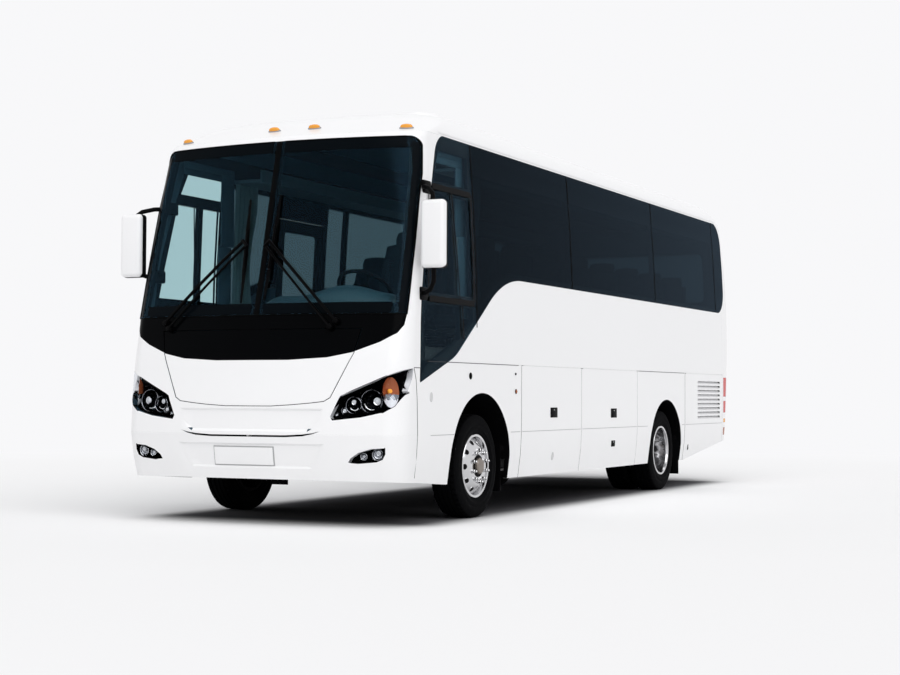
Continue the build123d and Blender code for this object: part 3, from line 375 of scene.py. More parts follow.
@dataclass(frozen=True)
class Glass(Finish):
    """Tinted pane that lets light through but keeps its gloss."""

    tint: tuple[float, float, float] = (0.4, 0.5, 0.52)
    sheen: tuple[float, float, float] = (0.30, 0.50, 0.72)
    ior: float = 1.45

    def surface(self, tree: bpy.types.NodeTree) -> None:
        """Clear pane under a gloss on its outer face; shadow rays pass with the tint.

        Args:
            tree: The material's empty node tree.
        """
        cloud = grain(tree, self.grain_scale / 100).outputs["Cloud"]
        deeper = tuple(c * 0.94 for c in self.tint)
        pane = add_node(tree, "BsdfPrincipled", Roughness=0.0, Transmission_Weight=1.0, IOR=1.01,
                        Base_Color=blended(tree, cloud, (*self.tint, 1.0), (*deeper, 1.0)))
        gloss = add_node(tree, "BsdfGlossy", Color=(*self.sheen, 1.0), Roughness=0.0)
        rim = add_node(tree, "Fresnel", IOR=self.ior).outputs["Fac"]
        front = calculate(tree, "SUBTRACT", 1.0,
                          add_node(tree, "NewGeometry").outputs["Backfacing"])
        faced = add_node(tree, "MixShader", i0=calculate(tree, "MULTIPLY", rim, front),
                         i1=pane.outputs["BSDF"], i2=gloss.outputs["BSDF"])
        clear = add_node(tree, "BsdfTransparent", Color=(*(c ** 0.5 for c in self.tint), 1.0))
        shadow = add_node(tree, "LightPath").outputs["Is Shadow Ray"]
        mix = add_node(tree, "MixShader", i0=shadow, i1=faced.outputs["Shader"],
                       i2=clear.outputs["BSDF"])
        add_node(tree, "OutputMaterial", Surface=mix.outputs["Shader"])


WHITE_PAINT = Finish("white_coachwork", (0.865, 0.866, 0.874), rough=0.30, coat=0.22,
                     coat_rough=0.12, grain_scale=90, relief=0.00001, rough_spread=0.05,
                     grime=0.10, grime_top=0.75, grime_color=(0.55, 0.54, 0.52), shade_spread=0.01,
                     slot="white_paint")
LINING = Finish("cabin_lining", (0.034, 0.062, 0.084), rough=0.8, specular=0.1, grain_scale=700,
                relief=0.0003, shade_spread=0.2, slot="dark_plastic")
PIANO_BLACK = Finish("black_scuttle_gloss", (0.0008, 0.0010, 0.0013), rough=0.14, specular=0.02,
                     grain_scale=60, relief=0.00001, shade_spread=0.3, slot="black_gloss")
BAND_BLACK = Finish("black_glazing_border", (0.0014, 0.0026, 0.0038), rough=0.16, specular=0.02,
                    grain_scale=60, relief=0.00001, shade_spread=0.3, slot="black_gloss")
RUBBER = Finish("seal_rubber", (0.0016, 0.0018, 0.002), rough=0.62, specular=0.02, grain_scale=900,
                relief=0.0002)
MOULDED = Finish("moulded_black", (0.0020, 0.0020, 0.0024), rough=0.5, specular=0.035,
                 grain_scale=1400, relief=0.0003)
ARM_BLACK = Finish("wiper_black", (0.0010, 0.0010, 0.0012), rough=0.34, specular=0.03,
                   grain_scale=900, relief=0.0001)
SLAT_GREY = Finish("louvre_slats", (0.60, 0.60, 0.61), rough=0.4, specular=0.3, grime=0.15,
                   shade_spread=0.05, slot="white_paint")
SEAM_BLACK = Finish("panel_gap", (0.05, 0.05, 0.052), rough=0.7, specular=0.1, slot="white_paint")
DASH = Finish("dash_grain", (0.018, 0.036, 0.048), rough=0.45, specular=0.3, grain_scale=900,
              relief=0.0004, shade_spread=0.2, slot="dark_plastic")
RACK_GREY = Finish("rack_plastic", (0.070, 0.105, 0.130), rough=0.6, specular=0.2, grain_scale=800,
                   slot="grey_plastic")
FLOOR_VINYL = Finish("step_vinyl", (0.012, 0.013, 0.014), rough=0.7, specular=0.2, grain_scale=300,
                     relief=0.0006, slot="floor_vinyl", grime=0.1)
TYRE = Finish("tyre_rubber_black", (0.0018, 0.0019, 0.0023), rough=0.72, specular=0.025,
              grain_scale=500, relief=0.0003, grime=0.05, grime_top=0.6,
              grime_color=(0.012, 0.011, 0.010), shade_spread=0.4, slot="tyre_rubber")
ALLOY = Finish("polished_alloy", (0.62, 0.62, 0.63), rough=0.12, metallic=1.0, grain_scale=260,
               relief=0.000004, rough_spread=0.03, grime=0.04, grime_top=0.9, slot="wheel_alloy")
# Dark copy of the alloy for the deep dish of the rear wheels: painted shade.
DISH_SHADE_ALLOY = Finish("dish_alloy", (0.085, 0.085, 0.088), rough=0.3, metallic=0.8, grain_scale=260,
                   relief=0.00002, rough_spread=0.05, grime=0.1, slot="wheel_alloy")
DARK_ALLOY = Finish("cast_hub", (0.23, 0.20, 0.175), rough=0.35, metallic=0.9, grain_scale=300,
                    relief=0.0001, grime=0.1, slot="wheel_alloy")
CHROME = Finish("bright_chrome", (0.82, 0.83, 0.84), rough=0.07, metallic=1.0, relief=0.000004,
                rough_spread=0.02, grime=0.02, slot="wheel_alloy")
BOWL = Finish("lamp_reflector", (0.30, 0.31, 0.33), rough=0.14, metallic=1.0, relief=0.000004,
              rough_spread=0.04, slot="wheel_alloy")
CHASSIS = Finish("chassis_black", (0.0035, 0.0035, 0.004), rough=0.6, specular=0.05,
                 grain_scale=180, relief=0.0008, grime=0.12, grime_color=(0.03, 0.026, 0.022),
                 slot="chassis_paint")
CAST_IRON = Finish("cast_iron_block", (0.03, 0.03, 0.03), rough=0.7, metallic=0.4, grain_scale=220,
                   relief=0.001, grime=0.2, slot="engine_iron")
BAY_METAL = Finish("bay_sheet_metal", (0.16, 0.165, 0.17), rough=0.5, metallic=0.6,
                   grain_scale=200, relief=0.0002, grime=0.25, slot="bay_aluminium")
# Mid grey for the crease line and the plate's rim: painted shade.
SEAM_SHADE_GREY = Finish("seam_shadow", (0.42, 0.42, 0.43), rough=0.6, specular=0.2, slot="white_paint")
MESH_GREY = Finish("grille_mesh", (0.30, 0.31, 0.32), rough=0.55, metallic=0.3, grain_scale=700,
                   relief=0.0010, grime=0.25, slot="bay_aluminium")
MIRROR = Finish("mirror_face", (0.88, 0.9, 0.92), rough=0.02, metallic=1.0, relief=0.000001,
                rough_spread=0.01, slot="wheel_alloy")
SEAT_CLOTH = Fabric("seat_cloth", (0.006, 0.009, 0.013), rough=0.9, specular=0.1, relief=0.0008,
                    rough_spread=0.05, shade_spread=0.3, slot="seat_fabric")
CURTAIN = Fabric("curtain_cloth", (0.10, 0.14, 0.15), rough=0.95, specular=0.05, relief=0.0004,
                 rough_spread=0.03, shade_spread=0.2, slot="seat_fabric")
SEAT_SHELL = Finish("seat_shell", (0.008, 0.009, 0.010), rough=0.5, specular=0.2, grain_scale=900,
                    grime=0.25, slot="dark_plastic")
SCREEN_GLASS = Glass("screen_glass", (0.5, 0.6, 0.62), tint=(0.60, 0.77, 0.79),
                     sheen=(0.20, 0.42, 0.62), ior=1.30, slot="clear_glass")
CAB_GLASS = Glass("cab_side_glass", (0.4, 0.5, 0.52), tint=(0.66, 0.78, 0.79), ior=1.12,
                  slot="clear_glass")
DARK_GLASS = Glass("privacy_glass", (0.05, 0.07, 0.09), tint=(0.066, 0.096, 0.112),
                   sheen=(0.30, 0.44, 0.60), ior=1.10, slot="dark_glass")
LENS_CLEAR = Glass("lamp_cover", (0.9, 0.92, 0.95), tint=(0.90, 0.91, 0.93),
                   sheen=(0.9, 0.92, 0.95), ior=1.03, slot="lamp_lens")
LENS_AMBER = Finish("amber_lens", (0.86, 0.30, 0.03), rough=0.14, coat=0.3, grain_scale=160,
                    relief=0.0004, slot="amber_lens")
SMOKED_AMBER = Finish("smoked_amber", (0.26, 0.075, 0.03), rough=0.18, metallic=0.5,
                      grain_scale=40, relief=0.0002, shade_spread=0.8, slot="amber_lens")
LENS_RED = Finish("red_lens", (0.20, 0.018, 0.012), rough=0.3, coat=0.02, specular=0.05,
                  grain_scale=160, relief=0.0004, slot="red_lens")
LENS_MILK = Finish("milky_lens", (0.62, 0.63, 0.65), rough=0.14, coat=0.3, grain_scale=160,
                   relief=0.0004, slot="lamp_lens")


# ------------------------------------------------------------------ mesh helpers
def to_object(name: str, bm: BMesh, finishes: Sequence[Finish], body: str,
              crease: float = CREASE, recalc: bool = True) -> bpy.types.Object:
    """Turn a bmesh into a finished piece that rides on a body.

    Args:
        name: The piece's name.
        bm: Its geometry, which is freed.
        finishes: Materials in slot order.
        body: The body it moves with.
        crease: Edges sharper than this many degrees stay sharp.
        recalc: Whether to turn all normals outwards.

    Returns:
        The new object.
    """
    if recalc:
        bmesh.ops.recalc_face_normals(bm, faces=bm.faces)
    mesh = bpy.data.meshes.new(name)
    bm.to_mesh(mesh)
    bm.free()
    mesh.shade_smooth()
    mesh.set_sharp_from_angle(angle=radians(crease))
    for finish in finishes:
        mesh.materials.append(finish.build())
    made = bpy.data.objects.new(name, mesh)
    bpy.context.scene.collection.objects.link(made)
    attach(made, body)
    log.info("%s: %d faces on %s", name, len(mesh.polygons), body)
    return made


def round_edges(bm: BMesh, edges: Sequence[BMEdge], width: float, segments: int = 2) -> None:
    """Bevel a set of edges."""
    bmesh.ops.bevel(bm, geom=edges, offset=width, offset_type="OFFSET", segments=segments,
                    profile=0.5, affect="EDGES", clamp_overlap=True, material=-1)


def bevel_sharp(bm: BMesh, width: float, angle: float) -> None:
    """Round every edge sharper than an angle."""
    round_edges(bm, [edge for edge in bm.edges if len(edge.link_faces) == 2
                     and edge.calc_face_angle() > radians(angle)], width)


def new_since(bm: BMesh, before: set[BMVert], material: int) -> list[BMVert]:
    """Vertices added since a set was taken, with their faces given a material slot.

    Args:
        bm: The mesh.
        before: The vertices that it had before.
        material: Material slot of the new faces.

    Returns:
        The new vertices.
    """
    verts = [vert for vert in bm.verts if vert not in before]
    for face in {face for vert in verts for face in vert.link_faces}:
        face.material_index = material
    return verts


def add_block(bm: BMesh, low: Point, high: Point, bevel: float = 0.0,
              segments: int = 2, material: int = 0) -> list[BMVert]:
    """Add a block between two corners, with rounded edges.

    Args:
        bm: The mesh to add to.
        low: Lowest corner.
        high: Highest corner.
        bevel: Radius of the edges.
        segments: Steps round an edge.
        material: Material slot of its faces.

    Returns:
        The block's vertices.
    """
    size = [abs(b - a) for a, b in zip(low, high)]
    middle = [(a + b) / 2 for a, b in zip(low, high)]
    before = set(bm.verts)
    matrix = Matrix.Translation(middle) @ Matrix.Diagonal((*size, 1.0))
    made = bmesh.ops.create_cube(bm, size=1.0, matrix=matrix)
    if bevel:
        edges = list({edge for vert in made["verts"] for edge in vert.link_edges})
        round_edges(bm, edges, bevel, segments)
    return new_since(bm, before, material)


def aim(origin: Sequence[float], direction: Sequence[float]) -> Matrix:
    """Matrix that takes the origin there and turns +Z along a direction."""
    turn = Vector(direction).to_track_quat("Z", "Y").to_matrix().to_4x4()
    return Matrix.Translation(Vector(origin)) @ turn


def add_turned(bm: BMesh, profile: Sequence[tuple[float, float]], matrix: Matrix,
               steps: int = 48, material: int = 0) -> list[BMVert]:
    """Spin a (radius, height) profile about +Z and place it.

    Args:
        bm: The mesh to add to.
        profile: Points from one end to the other; radius 0 closes on the axis.
        matrix: Where the spun shape goes.
        steps: Steps round the full turn.
        material: Material slot of its faces.

    Returns:
        The new vertices.
    """
    before = set(bm.verts)
    chain = [bm.verts.new((radius, 0.0, height)) for radius, height in profile]
    edges = [bm.edges.new(pair) for pair in zip(chain, chain[1:])]
    bmesh.ops.spin(bm, geom=chain + edges, cent=(0, 0, 0), axis=(0, 0, 1), dvec=(0, 0, 0),
                   angle=2 * pi, steps=steps, use_merge=True, use_duplicate=False)
    bmesh.ops.remove_doubles(bm, verts=[vert for vert in bm.verts if vert not in before],
                             dist=1e-6)
    verts = new_since(bm, before, material)
    bmesh.ops.transform(bm, matrix=matrix, verts=verts)
    return verts


def add_tube(bm: BMesh, points: Sequence[Sequence[float]], radius: float, sides: int = 10,
             flat: float = 1.0) -> None:
    """Add a closed tube along a line of points.

    Args:
        bm: The mesh to add to.
        points: The centre line.
        radius: The tube's radius.
        sides: Faces round it.
        flat: How much the section is squeezed across the line.
    """
    path = [Vector(point) for point in points]
    loops = []
    for k, here in enumerate(path):
        along = path[min(k + 1, len(path) - 1)] - path[max(k - 1, 0)]
        matrix = aim(here, along) @ Matrix.Diagonal((1.0, flat, 1.0, 1.0))
        made = bmesh.ops.create_circle(bm, segments=sides, radius=radius, matrix=matrix)
        loops.append([edge for edge in bm.edges
                      if edge.verts[0] in made["verts"] and edge.verts[1] in made["verts"]])
    for first, second in zip(loops, loops[1:]):
        bmesh.ops.bridge_loops(bm, edges=first + second)
    for loop in (loops[0], loops[-1]):
        bmesh.ops.contextual_create(bm, geom=loop)


def add_sheet(bm: BMesh, across: int, along: int, place: Callable[[float, float], Vector],
              thickness: float, material: int = 0) -> None:
    """Add a sheet whose points are placed by a function, with a thickness.

    Args:
        bm: The mesh to add to.
        across: Cells in the first direction.
        along: Cells in the second direction.
        place: Gives the position for two values from 0 to 1.
        thickness: Wall thickness of the sheet.
        material: Material slot of its faces.
    """
    made = bmesh.ops.create_grid(bm, x_segments=across, y_segments=along, size=0.5)
    verts = made["verts"]
    for vert in verts:
        vert.co = place(vert.co.x + 0.5, vert.co.y + 0.5)
    faces = list({face for vert in verts for face in vert.link_faces})
    for face in faces:
        face.material_index = material
    bmesh.ops.solidify(bm, geom=faces, thickness=thickness)


def lifted(hit: tuple[Vector, Vector], lift: float) -> Vector:
    """Point a little outside the place where a ray met the shell."""
    return hit[0] + hit[1] * lift


class Shell:
    """The coach's outer surface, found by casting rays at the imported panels."""

    def __init__(self, nodes: dict[str, bpy.types.Object]) -> None:
        """Gather the outer panels in one search tree.

        Args:
            nodes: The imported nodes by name.
        """
        verts: list[Vector] = []
        polygons: list[list[int]] = []
        for name in BODY_PANELS:
            mesh = nodes[name].data
            base = len(verts)
            verts += [vert.co.copy() for vert in mesh.vertices]
            polygons += [[base + k for k in poly.vertices] for poly in mesh.polygons]
        self.tree = BVHTree.FromPolygons(verts, polygons)

    def cast(self, origin: Point, direction: Point) -> tuple[Vector, Vector]:
        """Point and outward normal where a ray first meets the shell.

        Args:
            origin: Start of the ray, outside the coach.
            direction: Where it goes.

        Returns:
            The point and the normal there.
        """
        spot, normal, _, _ = self.tree.ray_cast(Vector(origin), Vector(direction))
        if spot is None:
            raise ValueError(f"no surface from {origin} along {direction}")
        if normal.dot(Vector(direction)) > 0:
            normal = -normal
        return spot, normal

    def side(self, y: float, z: float, side: Side) -> tuple[Vector, Vector]:
        """Surface of one side at a place seen from that side."""
        return self.cast((2.0 * side.value, y, z), (-side.value, 0.0, 0.0))

    def front(self, x: float, z: float) -> tuple[Vector, Vector]:
        """Surface of the front at a place seen from the front."""
        return self.cast((x, -6.0, z), (0.0, 1.0, 0.0))

    def rear(self, x: float, z: float) -> tuple[Vector, Vector]:
        """Surface of the rear at a place seen from behind."""
        return self.cast((x, 6.0, z), (0.0, -1.0, 0.0))


def facing_in(face: BMFace) -> bool:
    """Whether a panel's face looks at the cabin's long axis.

    Args:
        face: A panel's face.

    Returns:
        True if it looks inwards.
    """
    first, last, height = -3.4, 3.6, 1.9
    centre = face.calc_center_median()
    hub = Vector((0.0, min(max(centre.y, first), last), height))
    return face.normal.dot(centre - hub) < 0.02


def arch_return(face: BMFace) -> bool:
    """Whether a skirt's face looks into a wheel arch.

    Args:
        face: A panel's face.

    Returns:
        True if it looks inwards or into an arch.
    """
    arch_radius, skirt_foot = 0.62, 0.3
    centre = face.calc_center_median()
    reach = min(Vector((centre.y - y, centre.z - WHEEL_Z)).length
                for y in (FRONT_AXLE_Y, REAR_AXLE_Y))
    in_arch = reach < arch_radius and centre.z > skirt_foot
    return facing_in(face) or (abs(face.normal.x) < 0.7 and in_arch)


@dataclass
class Skins:
    """Smooth, bevelled copies of CAD nodes that stand in for them."""

    nodes: dict[str, bpy.types.Object]
    node_body: dict[str, str]

    def merged(self, node: str) -> BMesh:
        """A merged copy of a node's mesh.

        Args:
            node: The CAD node.

        Returns:
            Its mesh, with doubled points merged.
        """
        bm = bmesh.new()
        bm.from_mesh(self.nodes[node].data)
        bmesh.ops.remove_doubles(bm, verts=bm.verts, dist=2e-5)
        return bm

    def make(self, node: str, finishes: Sequence[Finish], bevel: float,
             pick: Callable[[BMFace], int] | None = None) -> None:
        """Copy a node, round its edges, dress it and hide the node.

        Args:
            node: The CAD node.
            finishes: Materials in slot order.
            bevel: Radius of the sharp edges, or 0 to leave them.
            pick: Chooses the material slot of a face.
        """
        bm = self.merged(node)
        bmesh.ops.dissolve_limit(bm, angle_limit=radians(0.4), verts=bm.verts, edges=bm.edges)
        if pick is not None:
            for face in bm.faces:
                face.material_index = pick(face)
        if bevel:
            bevel_sharp(bm, bevel, CREASE)
        made = to_object(f"{node}_skin", bm, finishes, self.node_body[node], recalc=False)
        weighted = made.modifiers.new("even_shading", "WEIGHTED_NORMAL")
        weighted.keep_sharp = True
        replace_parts(made, node)

    def dress(self, node: str, finish: Finish) -> None:
        """Give a CAD node that stays its finish.

        Args:
            node: The CAD node.
            finish: The finish for all of it.
        """
        target = self.nodes[node]
        target.data.materials.clear()
        target.data.materials.append(finish.build())


# ------------------------------------------------------------------ bodywork
@dataclass
class Bodywork:
    """Painted panels, trim lines and the fittings on the sides."""

    skins: Skins
    shell: Shell
    edge: float = 0.003
    seam: float = 0.0045
    crease_z: float = 0.690
    belt_z: float = 1.2575

    def build(self) -> None:
        """Dress the panels and add the trim."""
        for node in ("roof", "front_mask", "side_panels", "rear_cap"):
            self.skins.make(node, (WHITE_PAINT, LINING), self.edge, facing_in)
        doors = [f"luggage_door_{side.word}_{end}" for side in Side for end in ("front", "rear")]
        doors += [f"side_door_{side.word}" for side in Side]
        for node in ("front_bumper", "front_flap", "front_skirts", "rear_skirts", "rear_bumper",
                     "engine_door", *doors):
            self.skins.make(node, (WHITE_PAINT, MOULDED), self.edge, arch_return)
        for node in ("scuttle", "flap_scuttle"):
            self.skins.make(node, (PIANO_BLACK, MOULDED), self.edge, facing_in)
        self.skins.make("roof_unit", (WHITE_PAINT,), 0.006)
        self.trim_lines()
        self.roof_details()

    def strip(self, bm: BMesh, start: float, end: float, z: float, side: Side, height: float,
              proud: float, cells: int) -> None:
        """Add a thin strip along a side at one height.

        Args:
            bm: The mesh to add to.
            start: Its first end, behind the front axle.
            end: Its other end, behind the front axle.
            z: Height of its lower edge.
            side: The side that it is on.
            height: How tall it is.
            proud: How far it stands out.
            cells: Cells along it.
        """
        def place(u: float, v: float) -> Vector:
            """Point for shares of its length and height."""
            return lifted(self.shell.side(station(start + (end - start) * u), z + height * v,
                                          side), proud)
        add_sheet(bm, cells, 1, place, -proud * side.value)

    def trim_lines(self) -> None:
        """Panel line where the skirts start to lean in, on each fixed and moving panel: a grey
        strip, partly a panel line and partly painted shade for the crease.
        """
        spans = {
            "body": [(-0.99, -0.56, 1), (3.87, 4.18, 1), (5.35, 5.45, 1), (-0.99, -0.56, -1),
                     (0.57, 0.73, -1), (3.87, 4.18, -1), (5.35, 5.45, -1), (0.57, 0.78, 1)],
            "luggage_door_left_front": [(0.82, 2.24, 1)],
            "luggage_door_left_rear": [(2.27, 3.84, 1)],
            "side_door_left": [(5.49, 6.91, 1)],
            "luggage_door_right_front": [(1.62, 2.71, -1)],
            "luggage_door_right_rear": [(2.75, 3.84, -1)],
            "side_door_right": [(5.49, 6.91, -1)],
        }
        for body, places in spans.items():
            bm = bmesh.new()
            for start, end, side in places:
                self.strip(bm, start, end, self.crease_z - self.seam / 2, Side(side), self.seam,
                           0.0006, 24)
            to_object(f"{body}_crease_line", bm, (SEAM_SHADE_GREY,), body)
        bm = bmesh.new()
        front = [(-1.215, 0.372), (-1.215, 0.55), (-1.215, 0.70), (-1.2193, 0.83), (-1.225, 0.964),
                 (-1.244, 1.113), (-1.262, 1.16), (-1.280, 1.205)]
        for side in Side:
            for run in (front, [(-1.280, 1.205), (-1.230, 1.205), (-1.180, 1.205)],
                        self.level(-1.05, 0.735), self.level(3.88, 5.44)):
                spots = [self.shell.side(station(y), z, side)[0] for y, z in run]
                add_tube(bm, spots, 0.0026, 6)
        to_object("body_panel_gaps", bm, (SEAM_BLACK,), "body")

    def level(self, start: float, end: float) -> list[tuple[float, float]]:
        """Places along the belt between two distances behind the front axle."""
        steps = 24
        return [(start + (end - start) * k / steps, self.belt_z) for k in range(steps + 1)]

    def roof_details(self) -> None:
        """Air intakes on the roof unit and the rain gutters along the cant rails."""
        low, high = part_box("roof_unit")
        bm = bmesh.new()
        for k in range(9):
            y = low.y + 0.42 + 0.045 * k
            add_block(bm, (-0.30, y, high.z - 0.004), (0.30, y + 0.022, high.z + 0.004), 0.002)
        for k in range(2):
            y = low.y + 1.25 + 0.5 * k
            add_turned(bm, [(0.20, -0.002), (0.20, 0.008), (0.185, 0.012), (0.175, 0.004),
                            (0.0, 0.004)], Matrix.Translation((0, y, high.z)), 40)
            for turn in range(6):
                spoke = add_block(bm, (0.0, -0.006, 0.003), (0.18, 0.006, 0.009), 0.002)
                bmesh.ops.rotate(bm, verts=spoke, cent=(0, 0, 0),
                                 matrix=Matrix.Rotation(turn * pi / 3, 3, "Z"))
                bmesh.ops.translate(bm, verts=spoke, vec=(0, y, high.z))
        to_object("roof_unit_vents", bm, (MOULDED,), "body")
        bm = bmesh.new()
        for side in Side:
            self.strip(bm, -0.70, 6.85, 3.062, side, 0.012, 0.004, 40)
        to_object("roof_gutters", bm, (WHITE_PAINT,), "body")


@dataclass
class SideFittings:
    """Latches, locks, marker lamps and louvres on the flanks."""

    shell: Shell
    grille_low: float = 0.735
    grille_high: float = 1.180
    slats: int = 9
    grille_start: float = 5.948
    grille_end: float = 6.817
    grille_back: float = 1.190
    slat_half: float = 0.028
    slat_tilt: float = 0.75
    grille_posts: int = 5

    def build(self) -> None:
        """Add every fitting on both sides."""
        for side in Side:
            word = side.word
            front = f"luggage_door_{word}_front"
            rear = f"luggage_door_{word}_rear"
            middle = 1.553 if side is Side.LEFT else 2.17
            for name, body, distance, z, tall, wide in (
                    (f"{front}_latch", front, middle, 0.849, 0.090, 0.165),
                    (f"{rear}_latch", rear, 3.141, 0.833, 0.090, 0.165),
                    (f"{rear}_lower_latch", rear, 3.142, 0.534, 0.060, 0.105)):
                self.paddle(name, body, self.frame_at(distance, z, side), tall, wide)
            self.oval(f"{front}_key", front, self.frame_at(middle, 0.458, side))
            self.oval(f"skirt_key_{word}", "body", self.frame_at(-0.983, 0.985, side))
            for stem, distance, z, radius, finish in (("socket", -0.257, 1.155, 0.021, MOULDED),
                                                      ("screw", 0.667, 1.183, 0.008, RUBBER),
                                                      ("marker", 0.679, 1.034, 0.016,
                                                       SMOKED_AMBER)):
                self.stud(f"side_{stem}_{word}", self.frame_at(distance, z, side), radius, finish)
            self.paddle(f"tail_latch_{word}", f"side_door_{word}",
                        self.frame_at(5.62, 0.435, side), 0.060, 0.022)
        self.louvres()

    def frame_at(self, distance: float, z: float, side: Side) -> Matrix:
        """Matrix whose Z leaves the side's surface, X runs rearwards and Y points up.

        Args:
            distance: Place behind the front axle.
            z: Its height.
            side: The side.

        Returns:
            The matrix.
        """
        spot, normal = self.shell.side(station(distance), z, side)
        rear = Vector((0, 1, 0)) - normal * normal.y
        rear.normalize()
        up = normal.cross(rear)
        matrix = Matrix((rear, up, normal)).transposed().to_4x4()
        matrix.translation = spot
        return matrix

    @staticmethod
    def paddle(name: str, body: str, seat: Matrix, tall: float, wide: float) -> None:
        """Recessed black paddle latch with a raised frame and a lifting tongue.

        Args:
            name: The piece's name.
            body: The body that it rides on.
            seat: Where it goes, with Z outwards.
            tall: The frame's height.
            wide: The frame's width.
        """
        bm = bmesh.new()
        frame = add_block(bm, (-wide / 2, -tall / 2, -0.004), (wide / 2, tall / 2, 0.004), 0.003)
        tongue = add_block(bm, (-wide * 0.34, -tall * 0.40, 0.002),
                           (wide * 0.34, tall * 0.10, 0.007), 0.0025)
        lock = add_turned(bm, [(0.006, 0.0), (0.006, 0.0065), (0.0045, 0.007), (0.0, 0.007)],
                          Matrix.Translation((0, tall * 0.27, 0)), 16, 1)
        bmesh.ops.transform(bm, matrix=seat, verts=frame + tongue + lock)
        to_object(name, bm, (MOULDED, CHROME), body)

    @staticmethod
    def oval(name: str, body: str, seat: Matrix) -> None:
        """Small oval key cover.

        Args:
            name: The piece's name.
            body: The body that it rides on.
            seat: Where it goes, with Z outwards.
        """
        bm = bmesh.new()
        add_turned(bm, [(0.038, -0.002), (0.038, 0.003), (0.033, 0.006), (0.012, 0.0035),
                        (0.0, 0.0035)], seat @ Matrix.Diagonal((0.62, 1.0, 1.0, 1.0)), 28)
        to_object(name, bm, (SLAT_GREY,), body)

    @staticmethod
    def stud(name: str, seat: Matrix, radius: float, finish: Finish) -> None:
        """Round cap with a rubber ring.

        Args:
            name: The piece's name.
            seat: Where it goes, with Z outwards.
            radius: The cap's radius.
            finish: The cap's finish.
        """
        bm = bmesh.new()
        add_turned(bm, [(radius * 1.3, -0.002), (radius * 1.3, 0.003), (radius * 1.05, 0.004),
                        (radius * 1.05, 0.002)], seat, 28, 1)
        add_turned(bm, [(radius, 0.0), (radius, 0.006), (radius * 0.7, 0.009), (0.0, 0.010)],
                   seat, 28, 0)
        to_object(name, bm, (finish, RUBBER), "body")

    def louvres(self) -> None:
        """Tilted slats in the engine side door, with a mesh behind."""
        y0, y1 = station(self.grille_start), station(self.grille_end)
        pitch = (self.grille_high - self.grille_low) / self.slats
        bm = bmesh.new()
        for k in range(self.slats):
            z = self.grille_low + pitch * (k + 0.72)
            spot, _ = self.shell.side(y0 - 0.03, z, Side.LEFT)
            blade = add_block(bm, (-self.slat_half, y0, -0.0015), (self.slat_half, y1, 0.0015),
                              0.001)
            bmesh.ops.rotate(bm, verts=blade, cent=(0, 0, 0),
                             matrix=Matrix.Rotation(self.slat_tilt, 3, "Y"))
            bmesh.ops.translate(bm, verts=blade, vec=(spot.x - 0.019, 0, z))
        back = self.grille_back
        for k in range(1, self.grille_posts + 1):
            y = y0 + (y1 - y0) * k / (self.grille_posts + 1)
            add_block(bm, (back + 0.010, y - 0.003, self.grille_low + 0.012),
                      (back + 0.046, y + 0.003, self.grille_high - 0.004), 0.001)
        add_block(bm, (back, y0 - 0.01, self.grille_low),
                  (back + 0.006, y1 + 0.01, self.grille_high), 0.001, material=1)
        to_object("side_louvres", bm, (SLAT_GREY, MESH_GREY), "side_door_left")


